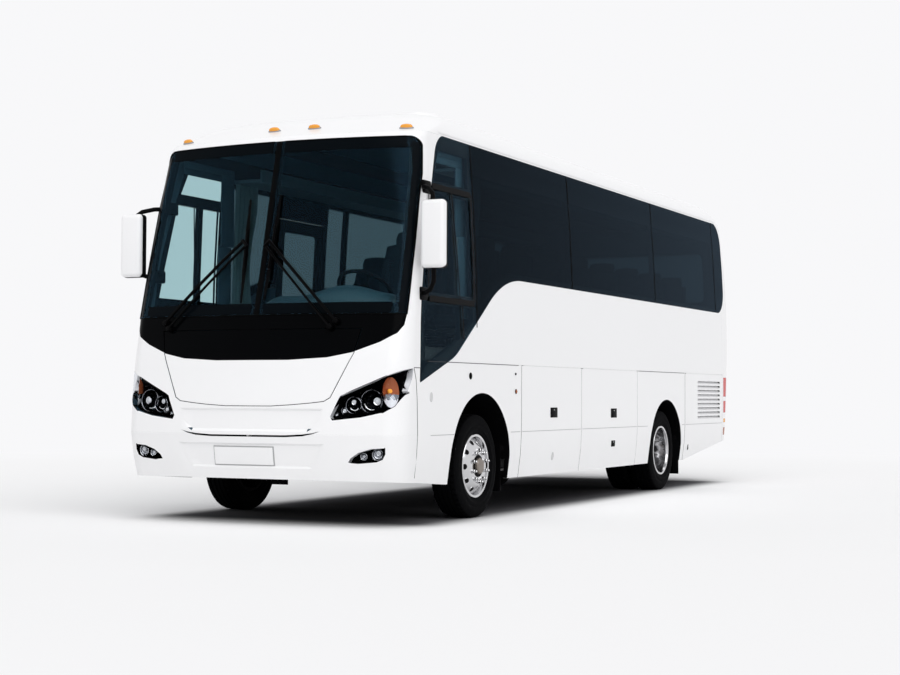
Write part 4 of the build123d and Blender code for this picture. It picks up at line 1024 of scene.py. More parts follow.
# ------------------------------------------------------------------ glazing
@dataclass
class Glazing:
    """Windscreen, side band, rear window and everything that frames them."""

    skins: Skins
    shell: Shell
    pillars: tuple[float, ...] = (CAB_END, 2.040, 4.470, 6.700)
    band_top: float = 3.03
    band_foot: float = 2.0
    cab_foot: float = 1.55
    screen_foot: float = 1.618
    bar_width: float = 0.046
    black_above: float = 1.985

    def build(self) -> None:
        """Dress the panes and add seals, rails and dividers."""
        self.skins.make("windscreen", (SCREEN_GLASS,), 0.0)
        self.skins.make("windscreen_frame", (BAND_BLACK,), 0.002)
        self.skins.make("window_bands", (BAND_BLACK,), 0.002)
        self.skins.make("body_glass", (DARK_GLASS, CAB_GLASS), 0.0,
                        lambda face: face.calc_center_median().y < station(CAB_END))
        self.skins.make("entry_door_glass", (DARK_GLASS,), 0.0)
        self.skins.make("entry_door", (BAND_BLACK, WHITE_PAINT, MOULDED), 0.003, self.door_colour)
        self.pane_joints()
        self.screen_trim()
        self.cab_rails()

    def door_colour(self, face: BMFace) -> int:
        """Black beside the glass, white below the belt, plain inside.

        Args:
            face: A face of the entrance door.

        Returns:
            Its material slot.
        """
        if facing_in(face):
            return 2
        return int(face.calc_center_median().z <= self.black_above)

    def pane_joints(self) -> None:
        """Rubber in the joints between the bonded side panes."""
        bm = bmesh.new()
        for side in Side:
            for pillar in self.pillars:
                y = station(pillar)
                low = self.band_foot if pillar > 0 else self.cab_foot
                tall = self.band_top - low

                def place(u: float, v: float) -> Vector:
                    """Point for shares of the seal's width and height."""
                    spot, normal = self.shell.side(y + 0.020, low + tall * v, side)
                    return Vector((spot.x, y + 0.016 * (u - 0.5), spot.z)) + normal * 0.0015
                add_sheet(bm, 1, 16, place, 0.005 * -side.value)
        to_object("pane_joint_seals", bm, (RUBBER,), "body")

    def screen_trim(self) -> None:
        """Seal round the windscreen, its centre bar and the strip above the scuttle."""
        edge = [(0.0, 3.0), (0.55, 3.0), (1.05, 3.0), (1.115, 2.985), (1.150, 2.955),
                (1.164, 2.90), (1.183, 2.70), (1.192, 2.42), (1.200, 2.15), (1.207, 1.61)]
        bm = bmesh.new()
        for sign in (1, -1):
            for run, radius in ((edge, 0.0075), ([(1.207, 1.612), (0.8, 1.612), (0.4, 1.612),
                                                  (0.0, 1.612)], 0.006)):
                points = []
                for a, b in zip(run, run[1:]):
                    count = max(2, int(6 * (Vector(a) - Vector(b)).length / 0.3))
                    points += [Vector(a).lerp(Vector(b), k / count) for k in range(count)]
                points.append(Vector(run[-1]))
                spots = [lifted(self.shell.front(sign * min(x, 1.205), z - 0.004), 0.001)
                         for x, z in points]
                add_tube(bm, spots, radius, 8, 0.7)
        to_object("windscreen_seal", bm, (RUBBER,), "body")
        self.printed_border(edge)
        bm = bmesh.new()

        def bar(u: float, v: float) -> Vector:
            """Point for shares of the bar's width and height."""
            spot, normal = self.shell.front(0.012, 1.62 + 1.375 * v)
            return Vector((self.bar_width * (u - 0.5), spot.y, spot.z)) + normal * 0.005
        add_sheet(bm, 2, 30, bar, 0.010)
        bevel_sharp(bm, 0.002, 50)
        to_object("windscreen_centre_bar", bm, (RUBBER,), "body")

    def on_screen(self, x: float, z: float) -> Vector:
        """Point of the print just in front of the windscreen."""
        return lifted(self.shell.front(x, z), PRINT_LIFT)

    def printed_border(self, edge: Sequence[tuple[float, float]]) -> None:
        """Black border printed round the windscreen.

        Args:
            edge: Half width and height of the screen's outline, from the top middle down.
        """
        bm = bmesh.new()
        sides = [point for point in edge if point[0] > 1.1]

        def half(z: float) -> float:
            """Half width of the screen at a height."""
            return next((x0 + (x1 - x0) * min(1.0, (z - z0) / (z1 - z0))
                         for (x0, z0), (x1, z1) in zip(sides, sides[1:]) if z >= z1), sides[-1][0])

        for sign in (1, -1):
            def post(u: float, v: float) -> Vector:
                """Point for shares of a side border's width and height."""
                z = self.screen_foot + 1.362 * v
                return self.on_screen(sign * (half(z) - 0.008 - 0.048 * u), z)
            add_sheet(bm, 3, 40, post, 0.001)
        for low, high in ((self.screen_foot, 1.700), (2.905, 2.990)):
            def rail(u: float, v: float) -> Vector:
                """Point for shares of a level border's length and height."""
                return self.on_screen(2.20 * (u - 0.5), low + (high - low) * v)
            add_sheet(bm, 40, 3, rail, 0.001)
        to_object("windscreen_border", bm, (BAND_BLACK,), "body", SOFT_CREASE)

    def cab_rails(self) -> None:
        """Frames of the sliding windows beside the driver, on both sides."""
        runs = [
            ((-0.905, 2.625), (-0.19, 2.625), 0.034), ((-1.025, 1.745), (-0.19, 1.745), 0.034),
            ((-0.560, 2.61), (-0.470, 1.76), 0.018), ((-0.190, 2.62), (-0.190, 1.76), 0.030),
            ((-0.430, 1.73), (-0.405, 1.46), 0.022), ((-0.968, 2.60), (-1.050, 1.76), 0.020),
        ]
        bm = bmesh.new()
        for side in Side:
            for start, end, wide in runs:
                line = Vector(end) - Vector(start)
                beside = Vector((-line.y, line.x)).normalized()

                def place(u: float, v: float) -> Vector:
                    """Point for shares of a rail's width and length."""
                    flat = Vector(start) + line * v + beside * wide * (u - 0.5)
                    return lifted(self.shell.side(station(flat.x), flat.y, side), 0.010)
                add_sheet(bm, 1, 14, place, 0.012 * side.value)
        to_object("cab_window_rails", bm, (MOULDED,), "body")


# ------------------------------------------------------------------ front face
@dataclass
class FrontFace:
    """Slit, blank plate, wipers and mirrors."""

    shell: Shell
    plate_x: tuple[float, float] = (-0.310, 0.220)
    plate_z: tuple[float, float] = (0.465, 0.600)
    slit_z: float = 0.76
    rod_gap: float = 0.062
    mirror_x: float = 1.372
    mirror_z: float = 2.215
    mirror_ahead: float = -1.200
    wiper_sets: tuple[tuple[tuple[float, float], ...], ...] = (
        ((-0.855, 1.556), (-0.185, 2.185), (-0.190, 2.530), (-0.147, 1.710)),
        ((0.691, 1.550), (0.052, 2.176), (0.086, 2.558), (0.061, 1.727)),
    )

    def build(self) -> None:
        """Add the front's fittings."""
        self.slit()
        self.plate()
        self.wipers()
        self.mirrors()

    def slit(self) -> None:
        """Dark backing behind the air slit, the lintel over it and its centre bridge."""
        bm = bmesh.new()
        self.wall(bm, 1.30, 0.052, 0.655, 0.085)
        to_object("slit_backing", bm, (RUBBER,), "body")
        bm = bmesh.new()
        self.wall(bm, 1.34, 0.034, 0.706, 0.045)
        spot, _ = self.shell.front(0.0, 0.74)
        add_block(bm, (-0.009, spot.y + 0.004, 0.672), (0.009, spot.y + 0.040, 0.698), 0.002)
        to_object("slit_bridge", bm, (WHITE_PAINT,), "body")

    def wall(self, bm: BMesh, width: float, depth: float, low: float, tall: float) -> None:
        """Add an upright wall that follows the front surface from behind.

        Args:
            bm: The mesh to add to.
            width: Its full width.
            depth: How far behind the surface it stands.
            low: Height of its lower edge.
            tall: How tall it is.
        """
        def place(u: float, v: float) -> Vector:
            """Point for shares of its width and height."""
            x = width * (u - 0.5)
            return Vector((x, self.shell.front(x, self.slit_z)[0].y + depth, low + tall * v))
        add_sheet(bm, 20, 1, place, 0.004)

    def straight_ahead(self, x: float, z: float, proud: float) -> Vector:
        """Point that far ahead of the front surface."""
        return Vector((x, self.shell.front(x, z)[0].y - proud, z))

    def plate(self) -> None:
        """Blank number plate on its raised frame, whose grey rim is painted shade for the shadow
        line round the plate.
        """
        bm = bmesh.new()
        (x0, x1), (z0, z1) = self.plate_x, self.plate_z
        layers = ((0.006, 0.001, 0.003, 1), (-0.003, 0.006, 0.004, 0))
        for margin, proud, thick, material in layers:
            width, tall = x1 - x0 + 2 * margin, z1 - z0 + 2 * margin
            add_sheet(bm, 12, 2, lambda u, v: self.straight_ahead(
                x0 - margin + width * u, z0 - margin + tall * v, proud), thick, material)
        bevel_sharp(bm, 0.0012, 50)
        to_object("front_plate_blank", bm, (WHITE_PAINT, SEAM_SHADE_GREY), "body")

    def on_glass(self, x: float, z: float, lift: float) -> Vector:
        """Point a little in front of the glass or scuttle."""
        return lifted(self.shell.front(x, z), lift)

    def wipers(self) -> None:
        """Pantograph arms with two rods each and long blades."""
        bm = bmesh.new()
        for pivot, elbow, top, foot in self.wiper_sets:
            arm = Vector(elbow) - Vector(pivot)
            beside = Vector((arm.y, -arm.x)).normalized() * (1 if pivot[0] < 0 else -1)
            out = self.shell.front(*pivot)[1]
            for gap, radius in ((0.0, 0.0135), (self.rod_gap, 0.0105)):
                start = Vector(pivot) + beside * gap
                end = Vector(elbow) + beside * gap * 0.75
                near = self.on_glass(start.x, start.y, 0.034)
                add_turned(bm, [(0.028, -0.034), (0.028, -0.008), (0.020, 0.010), (0.0, 0.014)],
                           aim(near, out), 24)
                far = self.on_glass(end.x, end.y, 0.048)
                run = [near.lerp(far, k / 4) + out * 0.016 * sin(pi * k / 4) for k in range(5)]
                add_tube(bm, run, radius, 8)
            bridge = [Vector(elbow) - beside * 0.012, Vector(elbow) + beside * self.rod_gap]
            add_tube(bm, [self.on_glass(q.x, q.y, 0.046) for q in bridge], 0.017, 10, 0.7)
            ends = [Vector(foot), Vector(top)]
            self.blade(bm, ends)
            head = [self.on_glass(*ends[0].lerp(ends[1], t), 0.030) for t in (0.28, 0.5, 0.70)]
            add_tube(bm, head, 0.009, 8)
        made = to_object("wiper_set", bm, (ARM_BLACK,), "body")
        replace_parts(made, "wipers")

    def blade(self, bm: BMesh, ends: Sequence[Vector]) -> None:
        """Tapered spine of a wiper and the rubber lip under it.

        Args:
            bm: The mesh to add to.
            ends: Foot and top of the blade, as X and Z on the glass.
        """
        across = (ends[1] - ends[0]).orthogonal().normalized()

        def spine(u: float, v: float) -> Vector:
            """Point for shares of the spine's width and length."""
            spot = ends[0].lerp(ends[1], v) + across * (u - 0.5) * (0.014 + 0.026 * sin(pi * v))
            return self.on_glass(spot.x, spot.y, 0.016)
        add_sheet(bm, 2, 14, spine, 0.010)
        lip = [self.on_glass(*ends[0].lerp(ends[1], k / 12), 0.007) for k in range(13)]
        add_tube(bm, lip, 0.004, 6)

    def mirrors(self) -> None:
        """Two mirror heads with black backs, glass and round arms."""
        for side in Side:
            sign = side.value
            x, y, z = self.mirror_x * sign, station(self.mirror_ahead), self.mirror_z
            bm = bmesh.new()
            add_block(bm, (x - 0.100, y - 0.053, z - 0.258), (x + 0.100, y + 0.030, z + 0.258),
                      0.034, 5)
            inner = sign * 0.004
            add_block(bm, (x - 0.101 - inner, y - 0.030, z - 0.262),
                      (x + 0.101 - inner, y + 0.052, z + 0.257), 0.030, 4, 1)
            for low, high in ((-0.07, 0.242), (-0.242, -0.085)):
                add_block(bm, (x - 0.084, y + 0.0505, z + low), (x + 0.084, y + 0.0535, z + high),
                          0.001, 1, 2)
            word = side.word
            made = to_object(f"mirror_head_{word}", bm, (WHITE_PAINT, MOULDED, MIRROR), "body")
            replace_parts(made, "mirror_heads")
            bm = bmesh.new()
            upper = 2.600 if side is Side.LEFT else 2.530
            lower = 1.770 if side is Side.LEFT else 1.960
            runs = [
                [(1.165, station(-0.985), upper), (1.24, station(-1.10), upper - 0.010),
                 (1.31, station(-1.17), upper - 0.035), (1.350, station(-1.195), upper - 0.07),
                 (1.365, y, 2.40)],
                [(1.200, station(-1.110), lower), (1.28, station(-1.155), lower + 0.005),
                 (1.335, station(-1.185), lower + 0.03), (1.365, y, lower + 0.08),
                 (self.mirror_x, y, 2.08)],
            ]
            for run in runs:
                add_tube(bm, [(px * sign, py, pz) for px, py, pz in run], 0.018, 12)
            for px, py, pz in (runs[0][0], runs[1][0]):
                add_block(bm, (px * sign - 0.050, py - 0.070, pz - 0.052),
                          (px * sign + 0.050, py + 0.060, pz + 0.052), 0.016, 3)
            made = to_object(f"mirror_arm_{word}", bm, (MOULDED,), "body")
            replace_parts(made, "mirror_arms")


@dataclass(frozen=True)
class Lamp:
    """One round unit: its place, size, bulb and the chrome arc of its painted highlight, as shares
    of its radius.
    """

    x: float
    z: float
    radius: float
    depth: float
    bulb: Point
    arc: Point
    bright: bool = False


@dataclass
class FrontLamps:
    """Headlamps, turn lamps, fog lamps and roof markers."""

    skins: Skins
    shell: Shell
    lamps: tuple[Lamp, ...] = (
        Lamp(0.998, 0.953, 0.086, 0.060, bulb=(0.42, 0.02, 0.28), arc=(195, 285, 0.74)),
        Lamp(0.866, 0.922, 0.062, 0.045, bulb=(-0.10, 0.36, 0.25), arc=(215, 325, 0.62)),
        Lamp(0.798, 0.880, 0.024, 0.020, bulb=(0.0, 0.0, 0.5), arc=(0, 0, 0)),
        Lamp(0.741, 0.850, 0.012, 0.014, bulb=(0.0, 0.0, 0.5), arc=(0, 0, 0)),
        Lamp(1.050, 0.550, 0.043, 0.026, bulb=(0.1, 0.25, 0.34), arc=(190, 350, 0.70),
             bright=True),
        Lamp(0.945, 0.535, 0.026, 0.022, bulb=(0.0, 0.1, 0.30), arc=(200, 330, 0.72),
             bright=True),
    )

    def build(self) -> None:
        """Split the lamp blocks into buckets and covers and fill them."""
        self.cover_and_bucket()
        for side in Side:
            bm = bmesh.new()
            sign = side.value
            for lamp in self.lamps:
                self.lamp(bm, lamp, sign)
            to_object(f"lamp_optics_{side.word}", bm, (CHROME, LENS_MILK, PIANO_BLACK, BOWL),
                      "body")
            bm = bmesh.new()
            self.turn_lamp(bm, sign)
            to_object(f"turn_lamp_{side.word}", bm, (BOWL, SMOKED_AMBER, LENS_AMBER, LENS_MILK),
                      "body")
        self.markers()

    def cover_and_bucket(self) -> None:
        """Make a thin clear cover of the blocks' front faces and a bucket of the others."""
        node = "front_lamps"
        for name, is_cover, thickness, finish in (("front_lamp_cover", True, -0.003, LENS_CLEAR),
                                                  ("front_lamp_bucket", False, -0.004, MOULDED)):
            bm = self.skins.merged(node)
            drop = [face for face in bm.faces if (face.normal.y < -0.05) != is_cover]
            bmesh.ops.delete(bm, geom=drop, context="FACES")
            bmesh.ops.solidify(bm, geom=list(bm.faces), thickness=thickness)
            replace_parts(to_object(name, bm, (finish,), "body"), node)

    def lamp(self, bm: BMesh, lamp: Lamp, sign: int) -> None:
        """Dark bowl in a thin bright ring, with a bulb inside and a chrome arc that gives a
        painted highlight crescent.

        Args:
            bm: The mesh to add to.
            lamp: The unit's place and sizes.
            sign: 1 on the left side, -1 on the right.
        """
        spot, normal = self.shell.front(lamp.x * sign, lamp.z)
        normal = (normal + Vector((0, -0.6, 0))).normalized()
        r, depth = lamp.radius, lamp.depth
        seat = aim(spot - normal * (0.014 + r * 0.25), normal)
        wire = 0.0012 + r * 0.014
        add_turned(bm, [(r - wire, 0.0), (r, wire), (r + wire, 0.0), (r, -wire), (r - wire, 0.0)],
                   seat, 44, 0 if lamp.bright else 3)
        bowl = [(r * cos(k * pi / 16), -depth * sin(k * pi / 16)) for k in range(8)]
        add_turned(bm, bowl + [(0.0, -depth)], seat, 40, 3 if lamp.bright else 2)
        right = -1 if (seat @ Vector((1, 0, 0)) - seat.translation).x * sign > 0 else 1
        bx, by, br = (value * r for value in lamp.bulb)
        inner = seat @ Matrix.Translation((-bx * right, by, -depth * 0.55))
        add_turned(bm, [(br, -depth * 0.3), (br, 0.0), (br * 1.25, br * 0.10),
                        (br * 1.18, br * 0.3), (br * 0.9, br * 0.18)], inner, 28, 0)
        ball = [(br * 0.88 * cos(k * pi / 12), br * 0.55 * sin(k * pi / 12)) for k in range(6)]
        add_turned(bm, ball + [(0.0, br * 0.55)], inner, 24, 1)
        # Chrome arc inside the bowl: a painted highlight crescent.
        start, end, share = lamp.arc
        if end > start:
            points = []
            for k in range(11):
                turn = radians(start + (end - start) * k / 10)
                points.append(seat @ Vector((-cos(turn) * r * share * right, sin(turn) * r * share,
                                             -depth * 0.42)))
            add_tube(bm, points, r * 0.07, 8)

    def turn_lamp(self, bm: BMesh, sign: int) -> None:
        """Oval bowl, bright below and smoked amber above, round an amber bulb.

        Args:
            bm: The mesh to add to.
            sign: 1 on the left side, -1 on the right.
        """
        spot, normal = self.shell.front(1.160 * sign, 1.020)
        normal = (normal + Vector((0.75 * sign, -0.1, 0))).normalized()
        seat = aim(spot - normal * 0.034, normal)
        profile = [(0.0705, 0.002), (0.066, -0.004), (0.056, -0.018), (0.036, -0.032),
                   (0.012, -0.038), (0.0, -0.038)]
        verts = add_turned(bm, profile, Matrix.Diagonal((0.98, 1.62, 1.0, 1.0)), 40, 0)
        for face in {face for vert in verts for face in vert.link_faces}:
            height = face.calc_center_median().y
            face.material_index = 1 if height > -0.012 else (3 if height < -0.055 else 0)
        bmesh.ops.transform(bm, matrix=seat, verts=verts)
        add_turned(bm, [(0.010, -0.034), (0.018, -0.018), (0.016, -0.004), (0.0, 0.002)],
                   seat @ Matrix.Translation((0.0, 0.010, 0.0)), 20, 2)

    def markers(self) -> None:
        """Amber roof markers on grey feet."""
        bm = bmesh.new()
        for x, z in ((1.008, 3.072), (0.185, 3.122), (-0.185, 3.122), (-1.008, 3.072)):
            spot, normal = self.shell.front(x, z)
            seat = aim(spot - normal * 0.004, normal) @ Matrix.Diagonal((1.0, 0.42, 1.0, 1.0))
            add_turned(bm, [(0.058, 0.0), (0.058, 0.010), (0.052, 0.014), (0.0, 0.014)],
                       seat, 32, 1)
            add_turned(bm, [(0.050, 0.012), (0.048, 0.024), (0.036, 0.034), (0.016, 0.038),
                            (0.0, 0.039)], seat, 32, 0)
        made = to_object("roof_marker_lamps", bm, (LENS_AMBER, MESH_GREY), "body")
        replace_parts(made, "roof_markers")


# ------------------------------------------------------------------ rear face
@dataclass
class RearFace:
    """Tail lamps, blank plate, window border and the engine door's handle."""

    skins: Skins
    shell: Shell
    border: float = 0.098
    corner: float = 0.117
    window_low: float = 2.053
    window_high: float = 2.817
    handle_z: float = 1.36
    marker: tuple[float, float] = (0.78, 3.12)

    def build(self) -> None:
        """Add the rear's fittings."""
        self.skins.make("tail_lamps", (LENS_RED, LENS_AMBER, SMOKED_AMBER), 0.004, self.lens)
        bm = bmesh.new()
        add_sheet(bm, 8, 2, lambda u, v: lifted(self.shell.rear(0.52 * (u - 0.5), 1.12 + 0.12 * v),
                                                0.006), -0.005)
        bevel_sharp(bm, 0.001, 50)
        to_object("rear_plate_blank", bm, (WHITE_PAINT,), "engine_door")
        self.window_border()
        bm = bmesh.new()
        verts = add_block(bm, (-0.07, -0.022, -0.004), (0.07, 0.022, 0.006), 0.004, 3)
        verts += add_block(bm, (-0.05, -0.012, 0.004), (0.05, 0.004, 0.012), 0.003, 2)
        bmesh.ops.transform(bm, matrix=aim(*self.shell.rear(0.0, self.handle_z)), verts=verts)
        to_object("engine_door_handle", bm, (MOULDED,), "engine_door")
        bm = bmesh.new()
        x, z = self.marker
        for place in (self.shell.rear(-x, z), self.shell.rear(x, z)):
            add_turned(bm, [(0.05, -0.004), (0.05, 0.010), (0.036, 0.022), (0.0, 0.026)],
                       aim(*place) @ Matrix.Diagonal((1, 0.45, 1, 1)), 28)
        to_object("rear_marker_lamps", bm, (LENS_RED,), "body")

    def on_rear(self, x: float, z: float) -> Vector:
        """Point just behind the rear surface."""
        return lifted(self.shell.rear(x, z), PRINT_LIFT)

    def window_border(self) -> None:
        """Black border printed round the rear window."""
        bm = bmesh.new()
        wide, turn, low, high = self.border, self.corner, self.window_low, self.window_high
        for sign in (1, -1):
            for cx, cz, start in ((0.860, high - turn, 0), (0.880, low + turn, -90)):
                def bend(u: float, v: float) -> Vector:
                    """Point for shares of a corner and of the border."""
                    angle, r = radians(start + 90 * u), turn - wide * v
                    return self.on_rear(sign * (cx + r * cos(angle)), cz + r * sin(angle))
                add_sheet(bm, 8, 2, bend, 0.001)

            def post(u: float, v: float) -> Vector:
                """Point for shares of a side and of the border."""
                z = low + turn + (high - low - 2 * turn) * u
                return self.on_rear(sign * (0.997 - 0.020 * u - wide * v), z)
            add_sheet(bm, 10, 2, post, 0.001)
        for edge, way, half in ((high, -1, 0.862), (low, 1, 0.882)):
            def rail(u: float, v: float) -> Vector:
                """Point for shares of a level edge and of the border."""
                return self.on_rear(half * (2 * u - 1), edge + way * wide * v)
            add_sheet(bm, 30, 2, rail, 0.001)
        to_object("rear_window_border", bm, (BAND_BLACK,), "body", SOFT_CREASE)

    @staticmethod
    def lens(face: BMFace) -> int:
        """Lens colour by height: smoked, amber and two red ones from low to high."""
        z = face.calc_center_median().z
        return 2 if z < 0.66 else int(z < 0.77)


# ------------------------------------------------------------------ running gear
@dataclass
class RunningGear:
    """Tyres with tread, polished wheels, nuts, hubs and the underside."""

    skins: Skins
    radius: float = 0.423
    half_width: float = 0.1225
    tread_steps: int = 144
    rear_arch: float = 0.552
    holes: int = 10
    hole_circle: float = 0.198
    hole_offset: float = 0.0985
    front_nuts: tuple[float, float] = (0.130, 0.128)
    rear_nuts: tuple[float, float] = (-0.128, 0.140)

    def build(self) -> None:
        """Add the four wheel positions and dress the chassis."""
        inner = HALF_TRACK - TWIN_SPACING
        for side in Side:
            sign, word = side.value, side.word
            self.tyre(f"front_tyre_{word}", (HALF_TRACK * sign,), FRONT_AXLE_Y, side,
                      f"front_wheel_{word}")
            self.tyre(f"rear_tyres_{word}", (HALF_TRACK * sign, inner * sign), REAR_AXLE_Y, side,
                      f"rear_wheel_{word}")
            # Inner faces of the front rims in chassis black and deep faces of the rear dishes in
            # dark alloy: painted shade for the shaded inside of the wheels.
            for node, finish, limit in (("front_rim", CHASSIS, 0.008),
                                        ("rear_rims", DISH_SHADE_ALLOY, -0.075)):
                self.skins.make(
                    f"{node}_{word}", (ALLOY, finish), 0.0,
                    lambda face: abs(face.calc_center_median().x) - HALF_TRACK < limit)
            self.front_trim(side)
            self.rear_trim(side)
        for node in ("knuckle_left", "knuckle_right", "front_axle", "rear_axle", "chassis_frame",
                     "air_tank"):
            self.skins.make(node, (CHASSIS,), 0.002)
        self.skins.dress("engine_block", CAST_IRON)
        self.skins.dress("luggage_bays", BAY_METAL)
        self.skins.make("arch_liners", (MOULDED,), 0.0)
        self.underside()
        self.flap_edges()

    def flap_edges(self) -> None:
        """Rubber that widens the rear mud flaps out to the flank."""
        bm = bmesh.new()
        y = REAR_AXLE_Y + self.rear_arch - 0.021
        for sign in (1, -1):
            add_block(bm, (0.925 * sign, y, 0.150), (1.203 * sign, y + 0.012, 0.640), 0.003)
        to_object("rear_flap_rubber", bm, (TYRE,), "body")

    @staticmethod
    def hub(side: Side, axle_y: float, offset: float, around: float = 0.0, turn: float = 0.0,
            ) -> Matrix:
        """Matrix facing outwards on an axle.

        Args:
            side: The wheel's side.
            axle_y: Y of the axle.
            offset: How far outside the wheel's middle.
            around: Radius of a circle round the axle.
            turn: Place on that circle.

        Returns:
            The matrix.
        """
        spot = ((HALF_TRACK + offset) * side.value, axle_y + around * sin(turn),
                WHEEL_Z + around * cos(turn))
        return aim(spot, (side.value, 0, 0))

    def hand_holes(self, bm: BMesh, side: Side) -> None:
        """Ten hand holes in the face of a front wheel: black discs with rolled edges, painted
        shade for the dark inside of the holes.

        Args:
            bm: The mesh to add to.
            side: The wheel's side.
        """
        for k in range(self.holes):
            turn = 2 * pi * (k + 0.5) / self.holes
            away = Vector((0, sin(turn), cos(turn)))
            spot = Vector((0, FRONT_AXLE_Y, WHEEL_Z)) + away * self.hole_circle
            spot.x = (HALF_TRACK + self.hole_offset) * side.value
            seat = aim(spot, Vector((0.814 * side.value, 0, 0)) + away * 0.581)
            # Black disc on the face: painted shade where the inside of the hole would be dark.
            add_turned(bm, [(0.0225, -0.004), (0.0225, 0.0010), (0.0, 0.0010)], seat, 28, 2)
            add_turned(bm, [(0.0265, -0.001), (0.0250, 0.0018), (0.0232, 0.0020),
                            (0.0222, 0.0008)], seat, 28, 0)

    def tyre(self, node: str, centres: Sequence[float], axle_y: float, side: Side,
             body: str) -> None:
        """Tyre with grooved tread, shoulder blocks and raised sidewall rings.

        Args:
            node: The plain CAD tyre that it stands for.
            centres: X of each tyre's middle.
            axle_y: Y of the axle.
            side: The side that its outer wall faces.
            body: The wheel body it turns with.
        """
        w, r = self.half_width, self.radius
        side_wall = [(0.2475, 0.094), (0.262, 0.100), (0.270, 0.110), (0.285, 0.1145),
                     (0.300, 0.1195), (0.3035, 0.1215), (0.330, w - 0.0005), (0.334, w - 0.002),
                     (0.338, w - 0.0005), (0.368, 0.1195), (0.390, 0.1135), (0.404, 0.109)]
        tread = [(r - 0.007, 0.102), (r - 0.003, 0.092)]
        for groove in (0.062, 0.021, -0.021, -0.062):
            tread += [(r - 0.0005, groove + 0.006), (r - 0.010, groove + 0.0045),
                      (r - 0.010, groove - 0.0045), (r - 0.0005, groove - 0.006)]
        tread += [(r - 0.003, -0.092), (r - 0.007, -0.102)]
        other = [(radius, -x) for radius, x in reversed(side_wall)]
        bm = bmesh.new()
        for x in centres:
            before = set(bm.faces)
            centre = Vector((x, axle_y, WHEEL_Z))
            add_turned(bm, side_wall + tread + other + side_wall[:1],
                       aim(centre, (side.value, 0, 0)), self.tread_steps)
            self.cut_blocks(bm, [face for face in bm.faces if face not in before], centre)
        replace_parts(to_object(f"{node}_tread", bm, (TYRE,), body, 28.0), node)

    def cut_blocks(self, bm: BMesh, faces: Sequence[BMFace], centre: Vector) -> None:
        """Press slots into every third face round both shoulders.

        Args:
            bm: The mesh to add to.
            faces: The tyre's faces.
            centre: The tyre's middle.
        """
        slots = []
        for face in faces:
            spot = face.calc_center_median() - centre
            out = (spot.y ** 2 + spot.z ** 2) ** 0.5
            if 0.070 < abs(spot.x) < 0.100 and out > self.radius - 0.006:
                angle = Vector((spot.y, spot.z)).angle_signed(Vector((0, 1)))
                if round(angle / (2 * pi) * self.tread_steps - 0.5) % 3 == 0:
                    slots.append(face)
        bmesh.ops.inset_individual(bm, faces=slots, thickness=0.0025, depth=-0.007)

    def front_trim(self, side: Side) -> None:
        """Domed polished face with its hand holes, hub cap, ten nuts, a black ring round the cap
        as painted shade and a valve.

        Args:
            side: The wheel's side.
        """
        bm = bmesh.new()
        add_turned(bm, [(0.236, 0.040), (0.2345, 0.060), (0.226, 0.078), (0.170, 0.118),
                        (0.158, 0.127), (0.146, 0.131), (0.100, 0.131), (0.086, 0.128),
                        (0.086, 0.098)], self.hub(side, FRONT_AXLE_Y, 0.0), 96, 0)
        self.nuts(bm, side, FRONT_AXLE_Y, *self.front_nuts)
        add_turned(bm, [(0.088, 0.0), (0.088, 0.012), (0.080, 0.020), (0.070, 0.020),
                        (0.066, 0.048), (0.058, 0.056), (0.030, 0.058), (0.0, 0.058)],
                   self.hub(side, FRONT_AXLE_Y, 0.100), 40, 1)
        self.rim_lip(bm, side, FRONT_AXLE_Y)
        self.hand_holes(bm, side)
        # Black ring round the hub cap: painted shade for the recess that the cap sits in.
        add_turned(bm, [(0.072, 0.0), (0.072, 0.004), (0.090, 0.004), (0.090, 0.0)],
                   self.hub(side, FRONT_AXLE_Y, 0.129), 40, 2)
        to_object(f"front_wheel_trim_{side.word}", bm, (ALLOY, DARK_ALLOY, CHASSIS),
                  f"front_wheel_{side.word}")

    def rear_trim(self, side: Side) -> None:
        """Nuts deep in the dish, the hub's bolts and a valve.

        Args:
            side: The wheel's side.
        """
        bm = bmesh.new()
        self.nuts(bm, side, REAR_AXLE_Y, *self.rear_nuts)
        for k in range(8):
            add_turned(bm, [(0.009, 0.0), (0.009, 0.008), (0.0, 0.009)],
                       self.hub(side, REAR_AXLE_Y, -0.019, 0.052, 2 * pi * k / 8), 6, 1)
        self.rim_lip(bm, side, REAR_AXLE_Y)
        to_object(f"rear_wheel_trim_{side.word}", bm, (ALLOY, DARK_ALLOY),
                  f"rear_wheel_{side.word}")

    def rim_lip(self, bm: BMesh, side: Side, axle_y: float) -> None:
        """Rolled bead round the rim's outer edge and a valve stem.

        Args:
            bm: The mesh to add to.
            side: The wheel's side.
            axle_y: Y of the axle.
        """
        profile = [(0.2405, 0.1065), (0.2455, 0.1095), (0.2520, 0.1105), (0.2580, 0.1095),
                   (0.2615, 0.1055), (0.2600, 0.1010)]
        add_turned(bm, profile, self.hub(side, axle_y, 0.0), 72)
        stem = [((HALF_TRACK + offset) * side.value, axle_y + away, WHEEL_Z)
                for offset, away in ((0.062, 0.216), (0.092, 0.210))]
        add_tube(bm, stem, 0.005, 8)

    def nuts(self, bm: BMesh, side: Side, axle_y: float, offset: float, circle: float) -> None:
        """Ring of ten flanged nuts with domed caps.

        Args:
            bm: The mesh to add to.
            side: The wheel's side.
            axle_y: Y of the axle.
            offset: How far outside the wheel's middle.
            circle: Radius of the ring.
        """
        for k in range(10):
            seat = self.hub(side, axle_y, offset, circle, 2 * pi * k / 10)
            for profile, steps in (([(0.020, 0.0), (0.020, 0.005), (0.016, 0.007)], 16),
                                   ([(0.0165, 0.004), (0.0165, 0.024), (0.013, 0.028)], 6),
                                   ([(0.010, 0.024), (0.010, 0.040), (0.007, 0.045),
                                     (0.0, 0.046)], 14)):
                add_turned(bm, profile, seat, steps)

